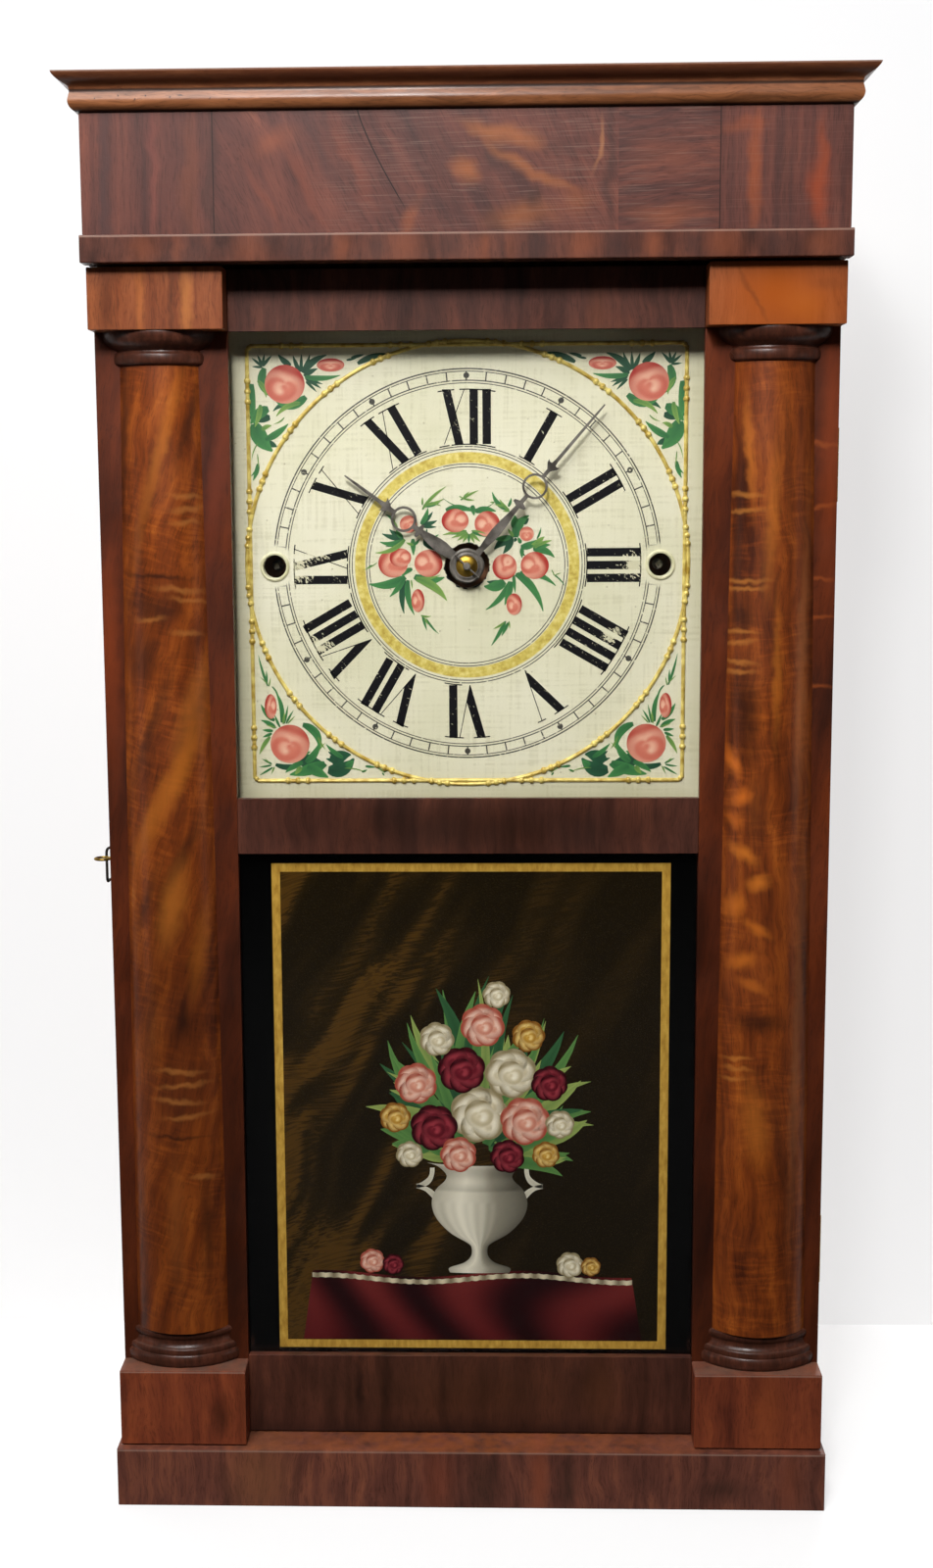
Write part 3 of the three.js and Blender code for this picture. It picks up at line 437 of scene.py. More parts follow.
frieze_wood = frieze_finish()
column_wood = {
    "left": mahogany(
        "crotch_mahogany_left_column", FLAME, (7, 70), (20, 70), turn=14, curl=0.06, shift=10.7, patches=[
            (AMBER, 0.6, (-164, 600), (6, 60), 16), (SHADE, 0.7, (-150, 612), (4, 40), 16),
            (SHADE, 0.75, (-186, 600), (5, 80), 5), ("#8a4a1a", 0.5, (-176, 560), (5, 60), 12),
            (DARK_FIGURE_AND_SHADE, 0.8, (-168, 531), (26, 2.4), 4), (SHADE, 0.6, (-172, 514), (26, 12), 10),
            (SHADE, 0.6, (-176, 486), (14, 22), 12), ("#9c5a22", 0.6, (-150, 462), (9, 44), 20),
            (AMBER, 0.7, (-158, 425), (9, 60), 24), (AMBER, 0.5, (-176, 395), (7, 40), 22),
            (SHADE, 0.7, (-173, 448), (6, 60), 20), (SHADE, 0.75, (-158, 376), (6, 40), 26),
            (SHADE, 0.6, (-178, 352), (5, 40), 20), ("#b06824", 0.7, (-164, 348), (11, 38), 12),
            (AMBER, 0.5, (-150, 322), (7, 40), 8), (DARK_FIGURE_AND_SHADE, 0.85, (-160, 283), (7, 13), 6),
            (SHADE, 0.5, (-178, 280), (7, 50), 4), (DARK_FIGURE_AND_SHADE, 0.7, (-164, 216), (26, 1.8), 3),
            (SHADE, 0.7, (-149, 160), (6, 50), 0), ("#8a4e22", 0.45, (-166, 165), (8, 60), 0),
            # The two wide marks of #2c1409 are painted shade, darkening the lower part of the column.
            (SHADE, 0.4, (-186, 160), (5, 60), 0), ("#2c1409", 0.45, (-165, 290), (40, 130), 0),
            ("#2c1409", 0.3, (-165, 160), (40, 130), 0),
            *(("#a86a32", 0.5, (at, z), (half, 2.6), lean) for at, z, half, lean in (
                (-151, 574, 13, 4), (-150, 567, 15, -5), (-152, 560, 12, -3), (-156, 524, 20, 5),
                (-150, 518, 16, 9), (-172, 508, 12, -4), (-152, 500, 12, 6), (-162, 254, 20, 4),
                (-160, 246, 22, -4), (-164, 237, 22, 5), (-158, 228, 20, -6), (-150, 192, 12, 8)))]),
    "right": mahogany(
        "crotch_mahogany_right_column", FLAME, (6, 80), (18, 70), turn=-3, curl=0.06, shift=12.1, patches=[
            ("#b06222", 0.7, (152, 596), (4, 46), -4), (AMBER, 0.5, (164, 560), (6, 60), 3),
            (SHADE, 0.6, (146, 540), (3, 60), 0), (SHADE, 0.5, (172, 590), (4, 60), -3),
            (DARK_FIGURE_AND_SHADE, 0.75, (150, 508), (10, 16), 0), (DARK_FIGURE_AND_SHADE, 0.8, (152, 455), (11, 46), -3),
            (AMBER, 0.5, (168, 480), (4, 60), 0), (SHADE, 0.6, (158, 400), (10, 30), 0),
            ("#c0641e", 0.8, (146, 428), (5, 13), -18), ("#c0641e", 0.8, (150, 409), (7, 8), 35),
            ("#b25c1c", 0.7, (147, 396), (6, 8), -30), ("#c06c22", 0.75, (152, 378), (13, 6), 35),
            ("#c06c22", 0.75, (160, 362), (10, 7), -25), ("#b8641e", 0.75, (148, 348), (8, 12), 10),
            ("#b8641e", 0.7, (160, 336), (12, 5), 30), ("#b8641e", 0.7, (152, 318), (12, 7), -15),
            ("#a85a1c", 0.7, (158, 304), (14, 5), 20), (DARK_FIGURE_AND_SHADE, 0.75, (162, 283), (24, 9), 0),
            (AMBER, 0.5, (160, 225), (12, 40), -8), (SHADE, 0.5, (174, 210), (5, 60), -8),
            # The two long pale stripes on the column's outer right side are a painted reflection.
            ("#9a5c34", 0.6, (182, 480), (5, 120), 1), ("#8c5430", 0.6, (183, 270), (5, 160), 1),
            *(("#b4702f", 0.55, (at, z), (half, 2.2), lean) for at, z, half, lean in (
                (150, 573, 14, 3), (150, 565, 16, -3), (150, 527, 20, 1), (150, 523, 18, -2),
                (148, 500, 15, 2), (148, 494, 13, -5), (148, 483, 14, 3), (148, 478, 13, -2),
                (150, 262, 11, -6), (150, 256, 11, 5), (148, 250, 9, -7)))]),
}


# Woods, metals, cord and paint of one tone: it wanders between two shades along the grain or the casting.
def plain_finish(name, dark, light, rough, metal=0.0, size=(8, 8), bump=0.1, turn=0.0):
    finish, tree, place = new_finish(name)
    tone = streaks(tree, place, *size, turn, 0.3, 6.0)
    colour = node(tree, "ValToRGB", Fac=tone, stops=[(0.35, dark), (0.65, light)])
    surface(tree, Base_Color=colour, Metallic=metal,
            Roughness=share(tree, tone, 0.3, 0.7, rough * 0.8, rough * 1.2),
            Normal=node(tree, "Bump", Strength=bump, Distance=0.0003, Height=tone))
    return finish


pine = plain_finish("sawn_pine", "#6e4a2a", "#9a7444", 0.75, size=(6, 220), bump=0.3)
roof_pine = plain_finish("sawn_pine_roof", "#6e4a2a", "#9a7444", 0.75, size=(6, 220), bump=0.3, turn=90)
cherry = plain_finish("cherry_movement", "#5e3820", "#8a5a34", 0.5, size=(5, 120))
brass = plain_finish("aged_brass", "#7a5a22", "#b8963c", 0.38, 1.0)
steel = plain_finish("aged_steel", "#45403a", "#79736b", 0.45, 0.35)
bright_steel = plain_finish("bright_steel", "#a8a39a", "#d8d4cc", 0.3, 0.2)
dark_wire = plain_finish("blackened_iron_wire", "#15110e", "#3a332c", 0.5, 0.3, size=(2, 2))
iron = plain_finish("cast_iron", "#1c1c1e", "#38363a", 0.7, 0.6, size=(3, 3), bump=0.4)
string = plain_finish("linen_cord", "#8a7a58", "#b8a880", 0.9, size=(1, 3))
gilding = plain_finish("gold_leaf_on_gesso", "#b8973a", "#f0dc7e", 0.35, 0.15, size=(5, 5), bump=0.2)
rim_paint = plain_finish("cream_paint_rims", "#cfcba0", "#e6e2bc", 0.5)


# Old window glass: clear, and it mirrors a twenty-fifth of the light head on and all of it at a grazing
# angle.
def glass_finish(name):
    finish, tree, place = new_finish(name)
    slant = node(tree, "LayerWeight", Blend=0.5).outputs["Facing"]
    mirrored = node(tree, "MapRange", Value=sum_of(tree, slant, 5.0, "POWER"), To_Min=0.04, To_Max=1.0)
    surface(tree, Base_Color="#ffffff", Metallic=1.0, Roughness=0.04, Alpha=mirrored)
    return finish


glass = glass_finish("old_window_glass")


# Oil paint from a brush: the colour of each stroke is kept on the mesh, and the ground shows through in
# streaks.
def brushed_paint(name, rough=0.45, streak=0.12, shine=0.5):
    finish, tree, place = new_finish(name)
    tint = node(tree, "Attribute", attribute_name="tint").outputs["Color"]
    hair = streaks(tree, place, 0.6, 2.4, 35, 0.8, 3.0)
    colour = blend(tree, share(tree, hair, 0.3, 0.7, 0.0, streak), tint, "#f4ecd0", "SOFT_LIGHT")
    surface(tree, Base_Color=colour, Roughness=rough, Specular_IOR_Level=shine)
    return finish


flower_paint = brushed_paint("dial_flower_paint")
# Paint that lies against the back of its glass has no shine of its own.
picture_paint = brushed_paint("reverse_painted_picture", 0.5, shine=0.0)


# ------------------------------------------------------------------ dial finishes
# Painted wooden dial: cream oil ground with fine craquelure, darker and olive at the margins with a painted
# shade from the door frame, black lines and a ring of gold leaf.
def dial_finish():
    finish, tree, place = new_finish("painted_wooden_dial")
    flat = in_mm(tree, place, 0, DIAL_Z)
    radius = node(tree, "VectorMath", operation="LENGTH", Vector=flat).outputs["Value"]
    parts = node(tree, "SeparateXYZ", Vector=flat)
    x, z = parts.outputs["X"], parts.outputs["Z"]
    hour = sum_of(tree, node(tree, "Math", operation="ARCTAN2", Value=[x, z]), math.radians(30), "DIVIDE")
    from_hour = sum_of(tree, hour, node(tree, "Math", operation="ROUND", Value=hour), "SUBTRACT")
    minute = sum_of(tree, hour, 5.0, "MULTIPLY")
    from_minute = sum_of(tree, minute, node(tree, "Math", operation="ROUND", Value=minute), "SUBTRACT")
    ground = node(tree, "ValToRGB", Fac=streaks(tree, place, 60, 60, shift=0.2, detail=3.0),
                  stops=[(0.3, "#d8d5b4"), (0.5, "#e2dec0"), (0.7, "#e8e4ca")])
    weave = blend(tree, 0.5, streaks(tree, place, 40, 1.6, shift=0.5),
                  streaks(tree, place, 1.6, 40, shift=0.9))
    ground = blend(tree, share(tree, weave, 0.5, 0.6, 0.0, 0.3), ground, "#b9b38e")
    speck = node(tree, "TexVoronoi", Scale=1 / (9 * MM), Vector=place)
    ground = blend(tree, share(tree, speck, 0.03, 0.07, 0.5, 0.0), ground, "#7a6c48")
    # Painted shade: the margins go darker and olive where the door frame shades them.
    across, up = (node(tree, "Math", operation="ABSOLUTE", Value=way) for way in (x, z))
    edge = node(tree, "Math", operation="MAXIMUM", Value=[across, up])
    ground = blend(tree, share(tree, edge, 112, 136, 0.0, 0.5), ground, "#a39c70")
    hole = node(tree, "VectorMath", operation="LENGTH", Vector=node(
        tree, "CombineXYZ", X=sum_of(tree, across, WINDING_X, "SUBTRACT"), Z=z))
    away = share(tree, hole.outputs["Value"], 10.5, 13.5)
    leaf_tone = node(tree, "ValToRGB", Fac=streaks(tree, place, 3, 3, shift=0.6, detail=5.0),
                     stops=[(0.3, "#c0a444"), (0.5, "#dcc862"), (0.7, "#efe08c")])
    colour = blend(tree, band(tree, radius, GOLD_RING, GOLD_WIDTH, 0.25), ground, leaf_tone)
    lines = 0.0
    for at, width in ((107.5, 0.75), (106.1, 0.5), (101.2, 0.62), (99.8, 0.5), (65.4, 0.55), (63.9, 0.5),
                      (55.9, 0.5), (54.3, 0.5)):
        lines = sum_of(tree, lines, band(tree, radius, at, width), "MAXIMUM")
    arc = sum_of(tree, sum_of(tree, from_minute, math.radians(6), "MULTIPLY"), radius, "MULTIPLY")
    tick = sum_of(tree, band(tree, arc, 0, 0.75), band(tree, radius, 103.75, 5.1), "MULTIPLY")
    lines = sum_of(tree, lines, tick, "MAXIMUM")
    arc = sum_of(tree, sum_of(tree, from_hour, math.radians(30), "MULTIPLY"), radius, "MULTIPLY")
    from_dot = node(tree, "VectorMath", operation="LENGTH", Vector=node(
        tree, "CombineXYZ", X=arc, Y=sum_of(tree, radius, 103.9, "SUBTRACT")))
    dot = share(tree, from_dot.outputs["Value"], 1.5, 1.75, 1.0, 0.0)
    lines = sum_of(tree, sum_of(tree, lines, dot, "MAXIMUM"), away, "MULTIPLY")
    worn = share(tree, streaks(tree, place, 2.2, 2.2, shift=0.4), 0.3, 0.42)
    colour = blend(tree, sum_of(tree, sum_of(tree, lines, worn, "MULTIPLY"), 0.95, "MULTIPLY"), colour,
                   "#161413")
    # Painted shade: the dark of the centre hole, carried out to a ragged edge round the hubs.
    ragged = sum_of(tree, radius, share(tree, streaks(tree, place, 5, 5, shift=0.8), 0.3, 0.7, -0.9, 0.9))
    colour = blend(tree, share(tree, ragged, 12.1, 12.5, 1.0, 0.0), colour, "#0b0908")
    ring = sum_of(tree, band(tree, radius, GOLD_RING, GOLD_WIDTH, 0.25), 0.2, "MULTIPLY")
    surface(tree, Base_Color=colour, Roughness=0.5, Metallic=ring,
            Normal=node(tree, "Bump", Strength=0.15, Distance=0.0003, Height=weave))
    return finish


# Black numeral paint, chipped to the cream ground in fine scratches, and most of all at the ends of III, IIII
# and IX.
def numeral_finish():
    finish, tree, place = new_finish("black_numeral_paint")
    flake = streaks(tree, place, 2.6, 1.2, 40, 0.7, 5.0, 0.65)
    rubbed = 0.0
    for at, size in (((93, 535), (13, 12)), ((-94, 534), (16, 14)), ((80, 496), (12, 7)),
                     ((-84, 543), (12, 8)), ((-84, 490), (14, 10))):
        rubbed = sum_of(tree, rubbed, patch(tree, place, at, size), "MAXIMUM")
    level = sum_of(tree, flake, sum_of(tree, rubbed, 0.26, "MULTIPLY"))
    colour = blend(tree, share(tree, level, 0.64, 0.68), "#0f0e11", "#d4cfae")
    surface(tree, Base_Color=colour, Roughness=0.5, Specular_IOR_Level=0.15)
    return finish


dial_paint = dial_finish()
numeral_paint = numeral_finish()


# Reverse painted glass: black margin, gold line, and an olive brown ground hatched into hanging folds.
def tablet_finish():
    finish, tree, place = new_finish("reverse_painted_ground")
    parts = node(tree, "SeparateXYZ", Vector=in_mm(tree, place, 1.5, 226.3))
    x, z = (node(tree, "Math", operation="ABSOLUTE", Value=parts.outputs[axis]) for axis in "XZ")
    edge = node(tree, "Math", operation="MAXIMUM", Value=[sum_of(tree, x, 112.0, "SUBTRACT"),
                                                          sum_of(tree, z, 143.3, "SUBTRACT")])
    bent = wander(tree, place, 120, 22, 0.4)
    left = share(tree, parts.outputs["X"], -60.0, 40.0, 1.0, 0.35)
    fold = sum_of(tree, share(tree, streaks(tree, bent, 22, 170, 30, 0.45, 1.0), 0.42, 0.7), left,
                  "MULTIPLY")
    hatch = streaks(tree, bent, 1.1, 26, 78, 0.9, 1.0)
    fold = sum_of(tree, fold, share(tree, hatch, 0.4, 0.6, 0.55, 1.0), "MULTIPLY")
    ground = node(tree, "ValToRGB", Fac=fold, stops=[(0.0, "#191207"), (0.3, "#261b0a"), (0.7, "#4e3512")])
    grain = streaks(tree, place, 0.8, 0.8, shift=0.7, detail=2.0)
    ground = blend(tree, share(tree, grain, 0.5, 0.7, 0.0, 0.25), ground, "#453820")
    gold = node(tree, "ValToRGB", Fac=streaks(tree, place, 2.5, 7, shift=0.6, detail=5.0),
                stops=[(0.3, "#a27a2e"), (0.5, "#bb923c"), (0.7, "#cda64c")])
    line = share(tree, edge, -4.9, -4.7)
    colour = blend(tree, line, ground, gold)
    colour = blend(tree, share(tree, edge, -0.15, 0.15), colour, "#020202")
    dust = node(tree, "TexVoronoi", Scale=1 / (5 * MM), Vector=place)
    colour = blend(tree, share(tree, dust, 0.02, 0.05, 0.4, 0.0), colour, "#6a6052")
    surface(tree, Base_Color=colour, Roughness=0.5, Specular_IOR_Level=0.0)
    return finish


tablet_ground = tablet_finish()

# ------------------------------------------------------------------ flat boards, rails and blocks
BOARDS = {
    "base_slab": slab_wood, "side_board_left": side_wood, "side_board_right": side_wood,
    "frieze_band": band_wood, "frieze_board": frieze_wood, "back_board": pine, "roof_board": roof_pine,
    "door_stile_left": stile_wood, "door_stile_right": stile_wood, "door_rail_bottom": rail_wood,
    "door_rail_middle": rail_wood, "door_rail_top": rail_wood, "plinth_left": plinth_wood,
    "plinth_right": plinth_wood, "abacus_left": abacus_wood, "abacus_right": abacus_wood,
    "dial_board": dial_paint, "dial_cleat_left": pine, "dial_cleat_right": pine,
    "movement_front_plate": cherry, "movement_back_plate": cherry,
}
for name, finish in BOARDS.items():
    eased(name, finish)
for name in NODES:
    if name.startswith("hinge_leaf"):
        eased(name, brass, 0.25, 2)
    if name.startswith("movement_pillar"):
        eased(name, cherry, 0.4, 2)
    if name.endswith("winding_arbor") or name in ("pendulum_rod", "centre_arbor", "taper_pin"):
        eased(name, steel, 0.2, 2)
eased("time_winding_arbor", bright_steel, 0.2, 2)
eased("dial_glass", glass, 0.2, 1)
eased("tablet_glass", glass, 0.2, 1)
eased("hour_pipe", brass, 0.2, 2)

# ------------------------------------------------------------------ cornice: a moulding mitred at the corners
BEAD, NECK = 4.7, 3.9   # how far the bead and the neck above it stand out


def rise(part):
    """This share of the way from the neck out to the edge of the crown."""
    return NECK + (CORNICE_OUT - NECK) * part


# Each point of the moulding: how far it stands out in mm, and its share of the height.
moulding = [
    *smooth_line([(0, 0), (BEAD * 0.32, 0.01), (BEAD * 0.62, 0.054), (BEAD * 0.85, 0.123),
                  (BEAD * 0.98, 0.21), (BEAD, 0.294), ((BEAD + NECK) / 2, 0.4), (NECK, 0.481)], 3),
    *smooth_line([(NECK, 0.583), (rise(0.06), 0.647), (rise(0.23), 0.706), (rise(0.47), 0.76),
                  (rise(0.68), 0.818), (rise(0.85), 0.882), (rise(0.96), 0.947), (CORNICE_OUT, 1)], 3),
]
section = [(-12, 0), *moulding, (-12, 1)]
reach = HALF + CORNICE_OUT


def run_moulding(name, side):
    """The section pushed along one edge of the top, then sawn to its mitres."""
    bm = bmesh.new()
    if side:
        rim = [bm.verts.new((side * (HALF + out), BACK_Y, CORNICE_Z + up * CORNICE_HIGH))
               for out, up in section]
        along = (0, FRIEZE_Y - CORNICE_OUT - BACK_Y, 0)
    else:
        rim = [bm.verts.new((-reach, FRIEZE_Y - out, CORNICE_Z + up * CORNICE_HIGH)) for out, up in section]
        along = (2 * reach, 0, 0)
    end = bm.faces.new(rim)
    run = bmesh.ops.extrude_face_region(bm, geom=[end])["geom"]
    bmesh.ops.translate(bm, vec=along, verts=[v for v in run if isinstance(v, bmesh.types.BMVert)])
    for hand in ([side] if side else [-1, 1]):
        corner = (hand * reach, FRIEZE_Y - CORNICE_OUT, 0)
        away = Vector((hand, 1, 0)) if not side else Vector((-hand, -1, 0))
        saw(bm, corner, away)
    return piece(name, bm, "case", cornice_wood, [name.replace("_moulding", "")], 30)


run_moulding("cornice_moulding_front", 0)
for name, side in SIDES:
    run_moulding(f"cornice_moulding_{name}", side)

# ------------------------------------------------------------------ half columns, bases and capitals
# Half widths at the foot of a shaft, the base and the capital, and how far behind the stile's face the centre
# of each turning lies.
SHAFT_HALF, BASE_HALF, CAP_HALF, SHAFT_TAPER = 26, 32, 30.3, 4.8
SHAFT_BEHIND, BASE_BEHIND = 18.3, 28
shares = [i / 24 for i in range(25)]
shaft = [(SHAFT_HALF - SHAFT_TAPER * (0.35 * s + 0.65 * s ** 2), SHAFT_Z + s * (NECK_Z - SHAFT_Z))
         for s in shares]
base = [(BASE_HALF + out, PLINTH_Z + up * (SHAFT_Z - PLINTH_Z)) for out, up in [
    *smooth_line([(-1.8, 0), (-0.5, 0.06), (0, 0.15), (-0.1, 0.25), (-1, 0.33), (-1.8, 0.36)]),
    *smooth_line([(-1.6, 0.4), (-1.6, 0.43), (-2, 0.51), (-3.8, 0.56), (-5.4, 0.64), (-5.8, 0.73),
                  (-5.2, 0.78)]),
    *smooth_line([(-4.3, 0.83), (-4, 0.9), (-4.4, 0.965), (-5.4, 1)])]]
cap = [(CAP_HALF + out, NECK_Z + up * (ABACUS_Z - NECK_Z)) for out, up in [
    *smooth_line([(-7.7, 0), (-6.5, 0.05), (-6, 0.17), (-6.4, 0.31), (-7.7, 0.375)]),
    *smooth_line([(-7.9, 0.42), (-6.3, 0.48), (-3.7, 0.57), (-1.5, 0.68), (-0.3, 0.81), (0, 0.92),
                  (-0.2, 1)])]]
for name, side in SIDES:
    x = side * COLUMN_X
    piece(f"half_column_{name}", half_turned(x, SHAFT_BEHIND, shaft), "door", column_wood[name],
          [f"column_{name}"])
    piece(f"turned_base_{name}", half_turned(x, BASE_BEHIND, base), "door", turned_wood,
          [f"column_base_{name}"])
    piece(f"turned_capital_{name}", half_turned(x, SHAFT_BEHIND, cap), "door", turned_wood,
          [f"capital_{name}"])

# ------------------------------------------------------------------ dial: numerals, gilt border and flowers
def sheet(bm, across, along, shape, shade=None, tint=None):
    """A grid laid out by shape(u, v), with u from -1 to 1 and v from 0 to 1, and coloured by shade(u, v)."""
    made = bmesh.ops.create_grid(bm, x_segments=across, y_segments=along, size=1.0)["verts"]
    for vert in made:
        u, v = vert.co.x, (vert.co.y + 1) / 2
        vert.co = shape(u, v)
        if shade:
            vert[tint] = shade(u, v)


def mixed(first, second, part):
    part = min(1.0, max(0.0, part))
    return [a + (b - a) * part for a, b in zip(first, second)]


NUMERAL_IN, NUMERAL_OUT = 66.6, 96.4
# A letter's width, its strokes and its outer and inner serifs. A stroke goes from an outer left and right to
# an inner left and right, and from one share of the height to another.
LETTERS = {
    "I": (4.7, [(0, 4.7, 0.1, 4.7, 1, 0)], [(-2.6, 7.3)], [(-2.6, 7.3)]),
    "V": (15.0, [(0, 4.7, 5.8, 10.7, 1, 0.32), (5.8, 10.7, 8.6, 8.9, 0.32, 0),
                 (14.5, 15.0, 8.6, 9.1, 1, 0)],
          [(-2.4, 6.8), (12.2, 17.2)], []),
    "X": (12.4, [(0, 4.7, 7.1, 11.8, 1, 0), (12.0, 12.5, 1.0, 1.5, 1, 0)], [(-2.4, 6.8), (9.6, 14.6)],
          [(-1.6, 4.0), (5.2, 13.8)]),
}
# Room between two letters.
GAPS = {"II": 2.4, "VI": 0.9, "XI": 2.7, "IX": 2.7, "IV": 1.8}


def numerals():
    bm = bmesh.new()
    for hour, text in enumerate("I II III IIII V VI VII VIII IX X XI XII".split(), 1):
        starts, at = [], 0.0
        for letter, after in zip(text, text[1:] + " "):
            starts.append((letter, at))
            at += LETTERS[letter][0] + GAPS.get(letter + after, 0.0)
        turn = math.radians(30 * hour)
        half = at / 2

        def lay(u, r, bow):
            """Across and out from the centre, on the dial."""
            lean = u / r if bow else 0.0
            a, b = (r * math.sin(lean), r * math.cos(lean)) if bow else (u, r)
            return (a * math.cos(turn) + b * math.sin(turn), DIAL_Y - 0.03,
                    DIAL_Z - a * math.sin(turn) + b * math.cos(turn))

        for letter, start in starts:
            _, strokes, outer, inner = LETTERS[letter]
            for o0, o1, i0, i1, top, low in strokes:
                def bar(u, v, o0=o0, o1=o1, i0=i0, i1=i1, top=top, low=low):
                    side = (u + 1) / 2
                    far = o0 + (o1 - o0) * side
                    near = i0 + (i1 - i0) * side
                    out = low + (top - low) * v
                    return lay(start + near + (far - near) * v - half,
                               NUMERAL_IN + (NUMERAL_OUT - NUMERAL_IN) * out, 0)
                sheet(bm, 1, 1, bar)
            for serifs, r in ((outer, NUMERAL_OUT), (inner, NUMERAL_IN)):
                for s0, s1 in serifs:
                    sheet(bm, 6, 1, lambda u, v, s0=s0, s1=s1: lay(
                        start - half + s0 + (s1 - s0) * (u + 1) / 2, r + 0.65 * (v - 0.5), 1))
    return bm


piece("dial_numerals", numerals(), "case", numeral_paint)

